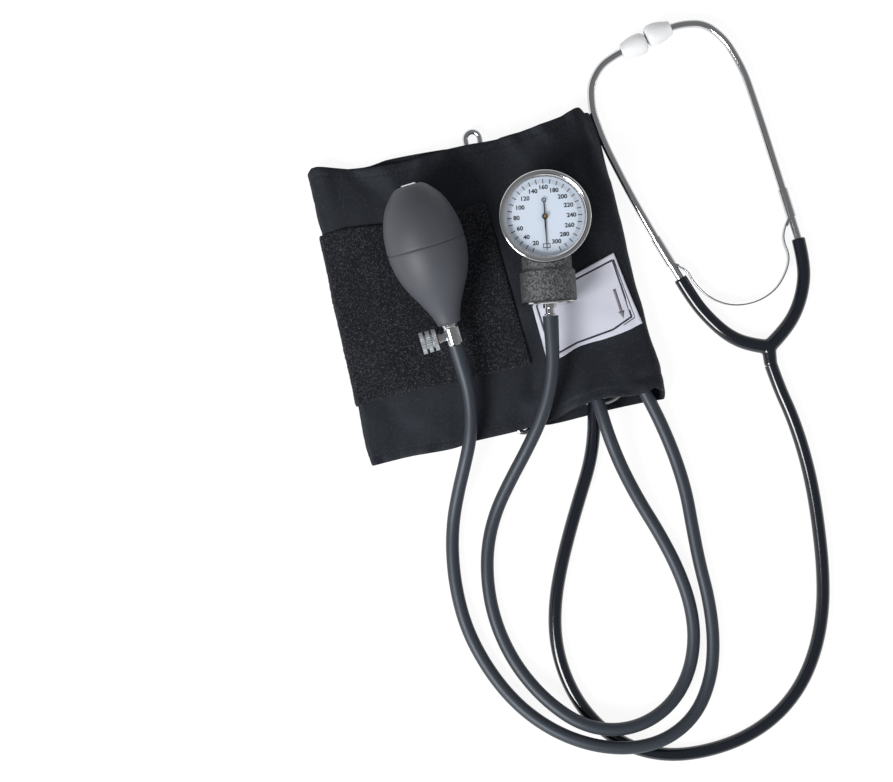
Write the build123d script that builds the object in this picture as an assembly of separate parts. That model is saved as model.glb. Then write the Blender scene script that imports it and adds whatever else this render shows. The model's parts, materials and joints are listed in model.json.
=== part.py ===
"""Aneroid sphygmomanometer with an attached stethoscope, as it lies folded on a table.

Millimetres. The origin is the middle of the folded cuff's underside, +X along the cuff,
+Y towards the ear tips, +Z up.
"""

import math
import os

from build123d import *

os.makedirs("parts", exist_ok=True)

# The middle of a quarter arc lies this share of the radius along each axis
DIAGONAL = math.sqrt(0.5)

# Folded cuff: where its underside, folds and ends lie
CUFF_LOW_Y = -79.5
CUFF_MOUTH_Y = -52.0
CUFF_SHOULDER_Y = 50.0
CUFF_HIGH_Y = 76.5
CLOTH = 1.6
SLEEVE = 2.8
RETURN_LOW = 3.2
LEFT_FOLD_RADIUS = 1.75
PILE_THICKNESS = 0.8
PILE_LOW_Y = -46.4
PILE_HIGH_Y = 41.5
LABEL_AT = (48.45, -24.1)
LABEL_THICKNESS = 0.35
SKIN_GAP = 0.03
CROWN_X = 48.0
SHOULDER_X = 22.0
SHOULDER_Z = 10.6
MOUTH_EDGE_Y = -75.2
RIGHT_EDGE = [(CUFF_LOW_Y, 80.0), (CUFF_MOUTH_Y, 79.0), (CUFF_SHOULDER_Y, 78.2), (CUFF_HIGH_Y, 74.9)]
TAIL_END_X = -58.0
STITCHED_LOOP = 11.0
BLADDER_LOW_Y = -66.0
BLADDER_HIGH_Y = 64.0
BLADDER_GAP = 0.05

# Metal ring that the strap runs through
RING_WIRE = 3.0
RING_BARS = 7.5
RING_LENGTH = 164.2
RING_LOW_Y = -82.8
RING_CLEARANCE = 0.1
LOOP_LOW_Y = -75.0
LOOP_HIGH_Y = 74.3
RING_Z = CLOTH + RING_CLEARANCE + RING_WIRE / 2

# Gauge: its own frame lies in the plane of the dial, turned on the cuff
GAUGE_AT = (38.3, 24.8, 40.3)
GAUGE_TURN = -9.0
CASE_RADIUS = 22.0
CASE_WALL = 1.4
CASE_BACK = -20.0
BEZEL_RADIUS = 23.5
DIAL_WINDOW = 20.4
DIAL_TOP = -1.6
DRUM_RADIUS = 14.3
DRUM_AXIS = -12.8
DRUM_END = -43.3
HOSE_SOCKET = 6.0

# Gauge movement: the sector turns a twelve-leaf pinion ten times faster
MODULE = 0.2
PINION_TEETH = 12
SECTOR_TEETH = 120
DEDENDUM = 1.25
ADDENDUM = 0.95
PIVOT = (-2.54, -12.985)
GEAR_WIDTH = 1.2
SECTOR_TRAVEL = 33.86
SECTOR_MARGIN = 7.5
PIVOT_FOOT = -15.9
ARM_HALF = 0.4
PIN_RADIUS = 0.5
PIN_START = -14.716

# Bulb and its valve, measured along the bulb's own axis from the tail
BULB_TAIL = (-25.9, 56.4, 32.9)
BULB_AIM = (4.7, -73.3, -8.5)
BULB_LENGTH = 74.0
BULB_WALL = 2.4
VALVE_RADIUS = 4.5
VALVE_END = 86.0
VALVE_PORT = 80.0
KNOB_RADIUS = 5.7
KNOB_START = 8.3
KNOB_LENGTH = 8.7
BALL_RADIUS = 1.5

# Hoses and stethoscope
HOSE = 6.4
SOUND_HOSE = 7.0
HOSE_FLARE = 8.4
FLARE_LENGTH = 6.0
EAR_TUBE = 4.2
Y_ARM = 7.1
LEAF = (0.7, 5.0)
LEAF_Z = 3.6
CHEST_AT = (49.5, -57.0, 1.9)
CHEST_RADIUS = 19.5

# Routes of the free hoses, from fitting to fitting
BULB_ROUTE = [
    (-20.45, -28.62, 23.07),
    (-19.74, -39.69, 21.78),
    (-19.1, -51.5, 19.9),
    (-20.4, -64.3, 18.4),
    (-23.9, -77.5, 16.7),
    (-29.7, -90.0, 12.7),
    (-36.0, -102.8, 7.8),
    (-42.4, -117.7, 3.9),
    (-46.9, -134.6, 3.2),
    (-49.2, -154.1, 3.2),
    (-48.5, -174.4, 3.2),
    (-43.8, -193.9, 3.2),
    (-36.1, -212.2, 3.6),
    (-25.7, -227.5, 6.2),
    (-11.6, -240.6, 9.6),
    (6.0, -250.6, 11.4),
    (25.3, -255.6, 11.4),
    (43.6, -254.4, 9.0),
    (60.1, -245.8, 5.5),
    (71.6, -229.7, 3.4),
    (77.6, -210.5, 3.2),
    (79.8, -189.3, 3.2),
    (79.2, -168.6, 3.2),
    (79.9, -149.2, 3.2),
    (80.8, -131.0, 3.2),
    (79.5, -113.3, 3.4),
    (76.7, -96.4, 4.6),
    (72.8, -80.3, 6.4),
    (69.0, -67.0, 8.4),
]
GAUGE_ROUTE = [
    (30.45, -24.8, 27.5),
    (28.6, -36.5, 27.1),
    (26.2, -49.6, 25.9),
    (21.2, -63.2, 23.6),
    (13.2, -77.2, 20.4),
    (2.9, -90.5, 15.4),
    (-8.4, -103.8, 9.6),
    (-19.6, -118.4, 4.8),
    (-27.7, -134.7, 3.2),
    (-32.1, -152.7, 3.2),
    (-33.1, -171.4, 3.2),
    (-30.4, -189.9, 3.2),
    (-24.2, -207.2, 4.8),
    (-14.5, -223.0, 8.5),
    (-1.5, -236.5, 11.4),
    (14.5, -243.9, 11.4),
    (31.8, -244.4, 9.4),
    (48.2, -238.0, 6.0),
    (60.7, -225.0, 3.6),
    (68.1, -207.2, 3.2),
    (69.8, -188.1, 3.2),
    (67.3, -168.5, 3.2),
    (62.1, -148.9, 3.2),
    (55.5, -130.0, 4.6),
    (50.1, -110.8, 8.6),
    (47.1, -93.7, 12.0),
    (46.0, -80.5, 11.9),
    (45.4, -69.5, 10.2),
]
SOUND_ROUTE = [
    (139.6, -75.6, 3.55),
    (141.0, -88.0, 3.5),
    (144.4, -104.5, 3.5),
    (146.3, -124.4, 3.5),
    (146.4, -145.0, 3.5),
    (144.7, -166.3, 3.5),
    (142.0, -187.4, 3.5),
    (137.3, -208.0, 3.5),
    (128.9, -227.7, 3.5),
    (116.9, -244.5, 3.5),
    (101.0, -257.1, 3.5),
    (81.9, -264.6, 3.5),
    (61.3, -266.9, 3.5),
    (41.2, -264.9, 3.5),
    (23.5, -257.1, 3.5),
    (9.7, -244.1, 3.5),
    (0.5, -227.4, 3.5),
    (-3.9, -209.0, 3.5),
    (-4.0, -190.5, 3.5),
    (0.3, -172.0, 3.5),
    (7.7, -154.2, 3.5),
    (16.6, -136.8, 3.5),
    (25.8, -120.4, 3.5),
    (34.2, -105.8, 3.6),
    (39.6, -92.2, 4.4),
    (42.8, -79.0, 5.3),
]
LEFT_ARM_ROUTE = [
    (103.4, -21.2, 3.6),
    (107.2, -33.0, 3.56),
    (113.6, -45.3, 3.55),
    (121.8, -56.4, 3.55),
    (132.0, -63.3, 3.55),
]
RIGHT_ARM_ROUTE = [
    (168.6, -14.6, 3.6),
    (168.8, -27.6, 3.56),
    (165.0, -40.9, 3.55),
    (157.9, -52.8, 3.55),
    (148.4, -61.3, 3.55),
]
Y_CENTRE = (140.3, -65.8, 3.55)

# Bends of the two ear tubes, from the ear tip to the moulded Y
LEFT_EAR_ROUTE = [
    (110.1, 104.56, 5.8),
    (99.0, 102.9, 5.5),
    (87.5, 98.6, 5.0),
    (80.2, 90.2, 4.5),
    (77.6, 77.0, 4.3),
    (79.9, 58.5, 4.1),
    (86.7, 31.0, 3.9),
    (94.4, 5.6, 3.7),
    (103.4, -21.2, 3.6),
]
RIGHT_EAR_ROUTE = [
    (116.9, 107.75, 5.8),
    (132.8, 110.15, 5.5),
    (145.8, 107.7, 5.0),
    (154.6, 97.0, 4.5),
    (160.4, 79.0, 4.3),
    (163.4, 50.0, 4.1),
    (166.3, 14.0, 3.8),
    (168.6, -14.4, 3.6),
]
LEAF_ROUTE = [
    (103.7, -14.6),
    (106.6, -18.0),
    (109.8, -24.6),
    (116.0, -34.4),
    (126.2, -40.8),
    (138.8, -42.0),
    (150.6, -38.0),
    (158.6, -29.6),
    (161.6, -19.0),
    (162.9, -8.4),
]
LEFT_SLEEVE = ((95.2, 3.2, 3.7), (100.4, -12.4, 3.65))
RIGHT_SLEEVE = ((166.36, 13.4, 3.796), (167.6, -2.0, 3.69))


def save(shape, name):
    """Write one sub-part."""
    export_step(shape, f"parts/{name}.step")


def rod(radius, start, end):
    """A round bar between two points."""
    a, b = Vector(*start), Vector(*end)
    return Plane(origin=a, z_dir=b - a) * Cylinder(
        radius, (b - a).length, align=(Align.CENTER, Align.CENTER, Align.MIN)
    )


def cone(low, high, start, end):
    """A tapered round bar between two points."""
    a, b = Vector(*start), Vector(*end)
    return Plane(origin=a, z_dir=b - a) * Cone(
        low, high, (b - a).length, align=(Align.CENTER, Align.CENTER, Align.MIN)
    )


def bend_radii(points):
    """The largest arc that each corner of a route has room for."""
    spots = [Vector(*p) for p in points]
    radii = []
    for before, here, after in zip(spots, spots[1:], spots[2:]):
        turn = math.radians((here - before).get_angle(after - here))
        shorter = min((here - before).length, (after - here).length)
        radii.append(0.45 * shorter / math.tan(turn / 2))
    return radii


def bent_bar(points, diameter, name=None):
    """A round bar along straight runs joined by tangent arcs."""
    radii = bend_radii(points)
    path = FilletPolyline(*points, radius=radii)
    section = Plane(origin=points[0], z_dir=path % 0) * Circle(diameter / 2)
    bar = sweep(section, path=path)
    if name:
        ideal = path.length * math.pi * diameter**2 / 4
        print(name, "length", round(path.length, 1), "volume share", round(bar.volume / ideal, 4))
        print("  arc radii", [round(r) for r in radii])
    return bar


def revolved(profile, plane=Plane.XY):
    """A turned piece from (radius, height) corners, turned about the plane's Z axis."""
    corners = [(r, 0, z) for r, z in profile]
    face = make_face(Polyline(*corners, close=True).edges())
    return plane * revolve(face, axis=Axis.Z)


# Cuff


def right_edge(y):
    """How far the right fold reaches at one place along the cuff's width."""
    for (y0, x0), (y1, x1) in zip(RIGHT_EDGE, RIGHT_EDGE[1:]):
        if y <= y1:
            break
    return x0 + (x1 - x0) * (y - y0) / (y1 - y0)


def station(y):
    """The cuff's cross-section sizes at one place along its width."""
    share = (y - CUFF_LOW_Y) / (CUFF_HIGH_Y - CUFF_LOW_Y)
    lift = max(0.0, (CUFF_MOUTH_Y - y) / (CUFF_MOUTH_Y - CUFF_LOW_Y))
    return {
        "y": y,
        "left": -77.5 + 2.0 * share,
        "ring": 5.1 + 7.7 * share,
        "right": right_edge(y),
        "crown": 13.2 + 5.0 * lift,
        "fold": 12.6 + 2.8 * lift,
    }


def at_y(points, y):
    """Lift (x, z) corners into the plane of constant y."""
    return [(x, y, z) for x, z in points]


def section(chain, y):
    """A face from a chain of lines (two points) and arcs (three points)."""
    edges = []
    for piece in chain:
        spots = at_y(piece, y)
        if len(spots) == 2:
            edges.append(Line(*spots))
        else:
            edges.append(ThreePointArc(*spots))
    return make_face(edges)


def top_chain(s, lift=0.0):
    """The sleeve's upper face from the right fold to the left fold."""
    fold_x = s["right"] - s["fold"] / 2
    left_x = s["left"] + LEFT_FOLD_RADIUS
    return [
        [
            (fold_x, s["fold"] + lift),
            ((fold_x + CROWN_X) / 2, (s["fold"] + s["crown"]) / 2 + 0.25 + lift),
            (CROWN_X, s["crown"] + lift),
        ],
        [
            (CROWN_X, s["crown"] + lift),
            (34.5, (s["crown"] + SHOULDER_Z) / 2 + 0.45 + lift),
            (SHOULDER_X, SHOULDER_Z + lift),
        ],
        [
            (SHOULDER_X, SHOULDER_Z + lift),
            (-24.0, 7.7 + lift),
            (left_x, 6.7 + lift),
        ],
    ]


def sleeve_section(y):
    """The bladder sleeve: ring end on the table, right fold, top layer, left fold."""
    s = station(y)
    bar = s["ring"] + RING_BARS / 2
    loop = RING_Z
    crest = RING_Z + loop * math.sqrt(0.75)
    fold_x = s["right"] - s["fold"] / 2
    left_x = s["left"] + LEFT_FOLD_RADIUS
    under = s["crown"] - SLEEVE
    under_fold = s["fold"] - SLEEVE
    inner = (under_fold - CLOTH) / 2
    inner_z = (under_fold + CLOTH) / 2
    spread = loop * DIAGONAL
    outer = s["fold"] / 2
    outer_x = fold_x + outer * DIAGONAL
    inner_x = fold_x + inner * DIAGONAL
    chain = [
        [(bar, 0), (fold_x, 0)],
        [(fold_x, 0), (outer_x, outer * (1 - DIAGONAL)), (s["right"], outer)],
        [(s["right"], outer), (outer_x, outer * (1 + DIAGONAL)), (fold_x, s["fold"])],
    ]
    chain += top_chain(s)
    chain += [
        [(left_x, 6.7), (s["left"], 4.95), (left_x, RETURN_LOW)],
        [(left_x, RETURN_LOW), (left_x, 5.1)],
        [(left_x, 5.1), (-40.0, 5.1)],
        [(-40.0, 5.1), (-10.0, 6.8)],
        [(-10.0, 6.8), (SHOULDER_X, 7.2)],
        [(SHOULDER_X, 7.2), (46.0, under)],
        [(46.0, under), (fold_x, under_fold)],
        [(fold_x, under_fold), (inner_x, inner_z + inner * DIAGONAL), (fold_x + inner, inner_z)],
        [(fold_x + inner, inner_z), (inner_x, inner_z - inner * DIAGONAL), (fold_x, CLOTH)],
        [(fold_x, CLOTH), (bar + STITCHED_LOOP, CLOTH)],
        [(bar + STITCHED_LOOP, CLOTH), (bar + loop / 2, crest)],
        [(bar + loop / 2, crest), (bar - loop / 2, crest), (bar - loop, RING_Z)],
        [(bar - loop, RING_Z), (bar - spread, RING_Z - spread), (bar, 0)],
    ]
    return section(chain, y)


def tail_section(y):
    """The closing strap: under the top layer, round the ring's left bar, back beneath."""
    s = station(y)
    bar = s["ring"] - RING_BARS / 2
    left_x = s["left"] + LEFT_FOLD_RADIUS
    outer = RING_Z
    inner = RING_Z - CLOTH
    top = RETURN_LOW + CLOTH
    far = outer * DIAGONAL
    near = inner * DIAGONAL
    chain = [
        [(TAIL_END_X, 0), (bar, 0)],
        [(bar, 0), (bar + far, RING_Z - far), (bar + outer, RING_Z)],
        [(bar + outer, RING_Z), (bar + far, RING_Z + far), (bar, 2 * RING_Z)],
        [(bar, 2 * RING_Z), (-8.0, 2 * RING_Z)],
        [(-8.0, 2 * RING_Z), (-40.0, top)],
        [(-40.0, top), (left_x, top)],
        [(left_x, top), (left_x, RETURN_LOW)],
        [(left_x, RETURN_LOW), (-40.0, RETURN_LOW)],
        [(-40.0, RETURN_LOW), (-8.0, 2 * RING_Z - CLOTH)],
        [(-8.0, 2 * RING_Z - CLOTH), (bar, RING_Z + inner)],
        [(bar, RING_Z + inner), (bar + near, RING_Z + near), (bar + inner, RING_Z)],
        [(bar + inner, RING_Z), (bar + near, RING_Z - near), (bar, RING_Z - inner)],
        [(bar, RING_Z - inner), (TAIL_END_X, CLOTH)],
        [(TAIL_END_X, CLOTH), (TAIL_END_X, 0)],
    ]
    return section(chain, y)


def bladder_section(y, grow):
    """The flat rubber bladder, or with grow the pocket that it fills."""
    s = station(y)
    under = s["crown"] - SLEEVE
    low, high = 0.7 - grow, 1.9 + grow
    left, right = 24.0 - grow, 69.0 + grow
    edge = 7.2 + (under - 7.2) * (left - SHOULDER_X) / (46.0 - SHOULDER_X)
    return section(
        [
            [(left, edge + low), (46.0, under + low)],
            [(46.0, under + low), (right, under + low)],
            [(right, under + low), (right, under + high)],
            [(right, under + high), (46.0, under + high)],
            [(46.0, under + high), (left, edge + high)],
            [(left, edge + high), (left, edge + low)],
        ],
        y,
    )


def pile_section(y):
    """Loop tape on the sleeve's outer face, round the left fold."""
    s = station(y)
    left_x = s["left"] + LEFT_FOLD_RADIUS
    fold_z = 6.7 - LEFT_FOLD_RADIUS
    low = SKIN_GAP
    high = SKIN_GAP + PILE_THICKNESS
    near = top_chain(s, low)[2]
    far = top_chain(s, high)[2]
    chain = [
        near,
        [near[2], (s["left"] - low, fold_z), (left_x, RETURN_LOW - low)],
        [(left_x, RETURN_LOW - low), (-42.0, RETURN_LOW - low)],
        [(-42.0, RETURN_LOW - low), (-42.0, RETURN_LOW - high)],
        [(-42.0, RETURN_LOW - high), (left_x, RETURN_LOW - high)],
        [(left_x, RETURN_LOW - high), (s["left"] - high, fold_z), far[2]],
        [far[2], far[1], far[0]],
        [far[0], near[0]],
    ]
    return section(chain, y)


def label_slab(y):
    """A thin slab on the crown of the sleeve, from which the label is cut."""
    s = station(y)
    near = top_chain(s, SKIN_GAP)
    far = top_chain(s, SKIN_GAP + LABEL_THICKNESS)
    chain = near[:2]
    chain += [[near[1][2], far[1][2]]]
    chain += [list(reversed(piece)) for piece in reversed(far[:2])]
    chain += [[far[0][0], near[0][0]]]
    return section(chain, y)


def ring_end(share):
    """A point on the ring's middle line, from its low end (0) to its high end (1)."""
    low = station(CUFF_LOW_Y)
    high = station(CUFF_HIGH_Y)
    slope = (high["ring"] - low["ring"]) / (CUFF_HIGH_Y - CUFF_LOW_Y)
    y = RING_LOW_Y + RING_LENGTH * share
    return Vector(low["ring"] + slope * (y - CUFF_LOW_Y), y, RING_Z)


def ring_gaps():
    """Where the cloth loops stop short of the ring's round ends."""
    low, high = (
        Pos(ring_end(share).X, stop, -1) * Box(17, 20, 7.65, align=(Align.CENTER, side, Align.MIN))
        for share, stop, side in ((0.0, LOOP_LOW_Y, Align.MAX), (1.0, LOOP_HIGH_Y, Align.MIN))
    )
    return low + high


def make_cuff():
    stations = (CUFF_LOW_Y, CUFF_MOUTH_Y, CUFF_SHOULDER_Y, CUFF_HIGH_Y)
    sleeve = loft([sleeve_section(y) for y in stations], ruled=True)
    shift = Vector(RING_BARS / 2, 0, 0)
    sleeve -= rod(RING_WIRE / 2 + RING_CLEARANCE, ring_end(-0.1) + shift, ring_end(1.1) + shift)
    sleeve -= ring_gaps()
    notch_low = CUFF_LOW_Y - 5.0
    sleeve -= Pos(24.0, notch_low, 3.4) * Box(
        70, MOUTH_EDGE_Y - notch_low, 20, align=(Align.MIN, Align.MIN, Align.MIN)
    )
    pocket_ends = (BLADDER_LOW_Y - BLADDER_GAP, CUFF_MOUTH_Y, BLADDER_HIGH_Y + BLADDER_GAP)
    sleeve -= loft([bladder_section(y, BLADDER_GAP) for y in pocket_ends], ruled=True)
    for x, y in (rise for hose_end, rise in PORTS.values()):
        sleeve -= rod(PORT_RADIUS + 0.1, (x, y, port_top(y) - 3.0), (x, y, port_top(y)))
    save(sleeve, "cuff_sleeve")

    tail = loft([tail_section(y) for y in stations], ruled=True) - ring_gaps()
    save(tail, "cuff_tail")

    bladder_ends = (BLADDER_LOW_Y, CUFF_MOUTH_Y, BLADDER_HIGH_Y)
    save(loft([bladder_section(y, 0.0) for y in bladder_ends], ruled=True), "bladder")

    save(loft([pile_section(y) for y in (PILE_LOW_Y, PILE_HIGH_Y)], ruled=True), "pile_patch")
    hook = Pos(-50.0, 0, CLOTH + 0.35) * Box(13.0, 70.0, 0.7)
    save(hook, "hook_patch")

    slab = loft([label_slab(y) for y in (CUFF_MOUTH_Y, 20.0)], ruled=True)
    outline = Pos(*LABEL_AT, 12.0) * Rot(0, 0, 10.5) * extrude(
        RectangleRounded(52.4, 38.0, 1.0), amount=12, both=True
    )
    save(slab & outline, "cuff_label")


def make_ring():
    middle = ring_end(0.5)
    aim = ring_end(1.0) - ring_end(0.0)
    turn = math.degrees(math.atan2(aim.Y, aim.X)) - 90.0
    end = RING_LENGTH / 2 - RING_WIRE / 2 - RING_BARS / 2
    half = RING_BARS / 2
    path = Wire(
        [
            Line((half, -end), (half, end)),
            ThreePointArc((half, end), (0, end + half), (-half, end)),
            Line((-half, end), (-half, -end)),
            ThreePointArc((-half, -end), (0, -end - half), (half, -end)),
        ]
    )
    wire = sweep(Plane(origin=(half, -end, 0), z_dir=(0, 1, 0)) * Circle(RING_WIRE / 2), path=path)
    save(Pos(*middle) * Rot(0, 0, turn) * wire, "cuff_ring")


# Elbows that join the hoses to the bladder: where the hose ends and where the elbow rises
PORT_RADIUS = 2.6
PORTS = {
    "bladder_port_gauge": (GAUGE_ROUTE[-1], (45.2, -63.0)),
    "bladder_port_bulb": (BULB_ROUTE[-1], (66.2, -61.5)),
}


def port_top(y):
    """The height of the bladder's lower face, where an elbow ends."""
    return station(y)["crown"] - SLEEVE + 0.7


def make_ports():
    for name, (hose_end, (x, y)) in PORTS.items():
        corner = (x, y, hose_end[2])
        elbow = rod(PORT_RADIUS, hose_end, corner) + Pos(*corner) * Sphere(PORT_RADIUS)
        elbow += rod(PORT_RADIUS, corner, (x, y, port_top(y)))
        save(elbow, name)


# Gauge: every piece is made in the dial's frame and then set on the cuff

GAUGE_FRAME = Pos(*GAUGE_AT) * Rot(0, 0, GAUGE_TURN)
DRUM_FRAME = Plane(origin=(0, 0, DRUM_AXIS), x_dir=(1, 0, 0), z_dir=(0, -1, 0))


def save_gauge(shape, name):
    save(GAUGE_FRAME * shape, name)


def make_gauge_case():
    cup = revolved([(0, CASE_BACK), (CASE_RADIUS - 3, CASE_BACK), (CASE_RADIUS, CASE_BACK + 3),
                    (CASE_RADIUS, 0.2), (0, 0.2)])
    drum = revolved(
        [(0, 14), (8.5, 14), (11.6, 16.5), (12.9, 20), (12.9, 26), (14.3, 27.6),
         (DRUM_RADIUS, 42.6), (13.6, -DRUM_END), (0, -DRUM_END)],
        DRUM_FRAME,
    )
    case = cup + drum
    case -= Pos(0, 0, -3.3) * Cylinder(
        BEZEL_RADIUS + 0.2, 30, align=(Align.CENTER, Align.CENTER, Align.MIN)
    ) - Pos(0, 0, -3.3) * Cylinder(CASE_RADIUS, 60, align=(Align.CENTER, Align.CENTER, Align.CENTER))
    inner = CASE_RADIUS - CASE_WALL
    case -= revolved([(0, CASE_BACK + CASE_WALL), (inner - 2, CASE_BACK + CASE_WALL),
                      (inner, CASE_BACK + CASE_WALL + 2), (inner, 5), (0, 5)])
    case -= revolved([(0, 24), (11.6, 24), (13.0, 28), (13.0, 50), (0, 50)], DRUM_FRAME)
    case -= revolved([(0, 12), (6.0, 12), (6.0, 26), (0, 26)], DRUM_FRAME)
    save_gauge(case, "gauge_case")


def make_window():
    bezel = make_face(
        [
            Line((22.02, 0, -3.2), (23.1, 0, -3.2)),
            Line((23.1, 0, -3.2), (BEZEL_RADIUS, 0, -2.7)),
            Line((BEZEL_RADIUS, 0, -2.7), (BEZEL_RADIUS, 0, 2.2)),
            ThreePointArc((BEZEL_RADIUS, 0, 2.2), (23.1, 0, 3.1), (22.3, 0, 3.3)),
            ThreePointArc((22.3, 0, 3.3), (21.2, 0, 2.75), (DIAL_WINDOW, 0, 1.9)),
            Line((DIAL_WINDOW, 0, 1.9), (DIAL_WINDOW, 0, 1.68)),
            Line((DIAL_WINDOW, 0, 1.68), (22.02, 0, 1.68)),
            Line((22.02, 0, 1.68), (22.02, 0, -3.2)),
        ]
    )
    save_gauge(revolve(bezel, axis=Axis.Z), "gauge_bezel")
    save_gauge(revolved([(0, 0.84), (21.9, 0.84), (21.9, 1.3), (21.6, 1.64), (0, 1.64)]), "gauge_crystal")
    save_gauge(revolved([(20.8, 0.24), (21.9, 0.24), (21.9, 0.8), (20.8, 0.8)]), "crystal_gasket")
    dial = revolved([(1.2, DIAL_TOP - 0.5), (20.45, DIAL_TOP - 0.5), (20.45, DIAL_TOP), (1.2, DIAL_TOP)])
    save_gauge(dial, "gauge_dial")


def make_pointer():
    blade = make_face(
        Polyline((-0.42, 1.4), (0.42, 1.4), (0.42, -1.4), (0.16, -17.2), (-0.16, -17.2), (-0.42, -1.4),
                 close=True).edges()
    )
    tail = make_face(Polyline((-0.3, 1.0), (0.3, 1.0), (0.3, 7.6), (-0.3, 7.6), close=True).edges())
    ring = Pos(0, 8.4) * (Circle(1.2) - Circle(0.75))
    boss = Circle(1.5)
    bore = Circle(0.5)
    pointer = extrude(blade + tail + ring + boss - bore, amount=0.25)
    save_gauge(Pos(0, 0, -0.9) * pointer, "pointer")
    save_gauge(revolved([(0, -0.64), (1.1, -0.64), (1.1, 0.0), (0.8, 0.3), (0, 0.3)]), "pointer_hub")


def polar(radius, degrees):
    """A flat point from its distance and direction."""
    return radius * math.cos(math.radians(degrees)), radius * math.sin(math.radians(degrees))


def tooth(pitch_radius, root_half, tip_half):
    """One gear tooth as a flat face about the X axis, from its half widths in degrees."""
    root = pitch_radius - DEDENDUM * MODULE - 0.1
    tip = pitch_radius + ADDENDUM * MODULE
    middle = (root_half + tip_half) / 2
    upper = [polar(root, root_half), polar(pitch_radius, middle), polar(tip, tip_half)]
    lower = [(x, -y) for x, y in reversed(upper)]
    return make_face(Polyline(*upper, *lower, close=True).edges())


def make_pinion(gear_low, aim):
    """The pointer's arbor with its twelve leaves, one gap of which faces the sector."""
    pitch = MODULE * PINION_TEETH / 2
    outline = Circle(pitch - DEDENDUM * MODULE)
    leaf = tooth(pitch, 8.88, 3.15)
    for i in range(PINION_TEETH):
        outline += Rot(0, 0, aim + 180.0 + i * 360.0 / PINION_TEETH) * leaf
    arbor = Pos(0, 0, gear_low) * extrude(outline, amount=GEAR_WIDTH)
    arbor += rod(0.6, (0, 0, PIVOT_FOOT), (0, 0, -4.0))
    arbor += rod(0.48, (0, 0, -4.0), (0, 0, -0.66))
    save_gauge(arbor, "pointer_arbor")


def make_sector(gear_low, aim):
    """The toothed sector, its two windows and the arm that the push pin lifts."""
    px, py = PIVOT
    pitch = MODULE * SECTOR_TEETH / 2
    rim = pitch - DEDENDUM * MODULE
    start = aim - SECTOR_TRAVEL - SECTOR_MARGIN
    end = aim + SECTOR_MARGIN
    middle = (start + end) / 2
    edge_steps = 8
    step_angle = (end - start) / edge_steps
    reach = (rim + 1.0) / math.cos(math.radians(step_angle / 2))
    edge = [polar(reach, start + step_angle * i) for i in range(edge_steps + 1)]
    sector = make_face(Polyline((0.0, 0.0), *edge, close=True).edges()) & Circle(rim)
    near, far = 4.0, rim - 2.0
    for low, high in ((start + 5, middle - 3), (middle + 3, end - 5)):
        window = [polar(near, low + 4), polar(far, low), polar(far, high), polar(near, high - 4)]
        sector -= make_face(Polyline(*window, close=True).edges())
    sector += Circle(1.7)
    cog = tooth(pitch, 0.945, 0.355)
    step = 360.0 / SECTOR_TEETH
    first = math.ceil((start - aim) / step)
    last = math.floor((end - aim) / step)
    for k in range(first, last):
        sector += Rot(0, 0, aim + (k + 0.5) * step) * cog
    sector += Rot(0, 0, -SECTOR_TRAVEL / 2) * Pos(1.9, 0) * Rectangle(3.8, 2 * ARM_HALF)
    sector = Pos(px, py, gear_low) * extrude(sector, amount=GEAR_WIDTH)
    sector += rod(0.6, (px, py, PIVOT_FOOT), (px, py, -6.9))
    save_gauge(sector, "sector_gear")


def make_movement():
    gear_low = DRUM_AXIS - GEAR_WIDTH / 2
    aim = math.degrees(math.atan2(-PIVOT[1], -PIVOT[0]))
    make_pinion(gear_low, aim)
    make_sector(gear_low, aim)


PILLARS = ((-12.5, 3.5), (12.5, 5.0), (12.5, -11.0), (-9.0, -14.0))


def plate_outline():
    return make_face(
        Polyline((-15.5, 6.0), (-6.0, 9.5), (8.0, 9.5), (15.5, 7.0), (15.5, -13.0), (7.0, -16.2),
                 (-11.2, -16.6), (-15.5, -8.0), close=True).edges()
    )


def make_frames():
    px, py = PIVOT
    plate = plate_outline()
    for x, y in PILLARS:
        plate -= Pos(x, y) * Circle(0.8)
    lower = Pos(0, 0, -16.2) * extrude(plate, amount=1.2)
    for x, y in ((0, 0), (px, py)):
        lower -= Pos(x, y, -15.95) * Cylinder(0.65, 2, align=(Align.CENTER, Align.CENTER, Align.MIN))
    save_gauge(lower, "movement_plate")

    bridge = plate - Circle(0.65) - Pos(px, py) * Circle(0.65)
    bridge -= Pos(4.0, -10.5) * Circle(3.4)
    save_gauge(Pos(0, 0, -8.0) * extrude(bridge, amount=0.9), "bridge_plate")

    pillars = []
    screws = []
    for x, y in PILLARS:
        post = rod(1.5, (x, y, -15.0), (x, y, -8.0)) + rod(0.8, (x, y, -18.5), (x, y, -15.0))
        post += rod(1.5, (x, y, -18.58), (x, y, -16.2))
        post -= rod(0.55, (x, y, -11.0), (x, y, -7.9))
        pillars.append(post)
        screw = rod(0.55, (x, y, -10.9), (x, y, -7.1)) + rod(1.3, (x, y, -7.1), (x, y, -6.3))
        screw -= Pos(x, y, -6.3) * Box(2.8, 0.35, 0.5)
        screws.append(screw)
    save_gauge(Compound(children=pillars), "movement_pillars")
    save_gauge(Compound(children=screws), "bridge_screws")


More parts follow.
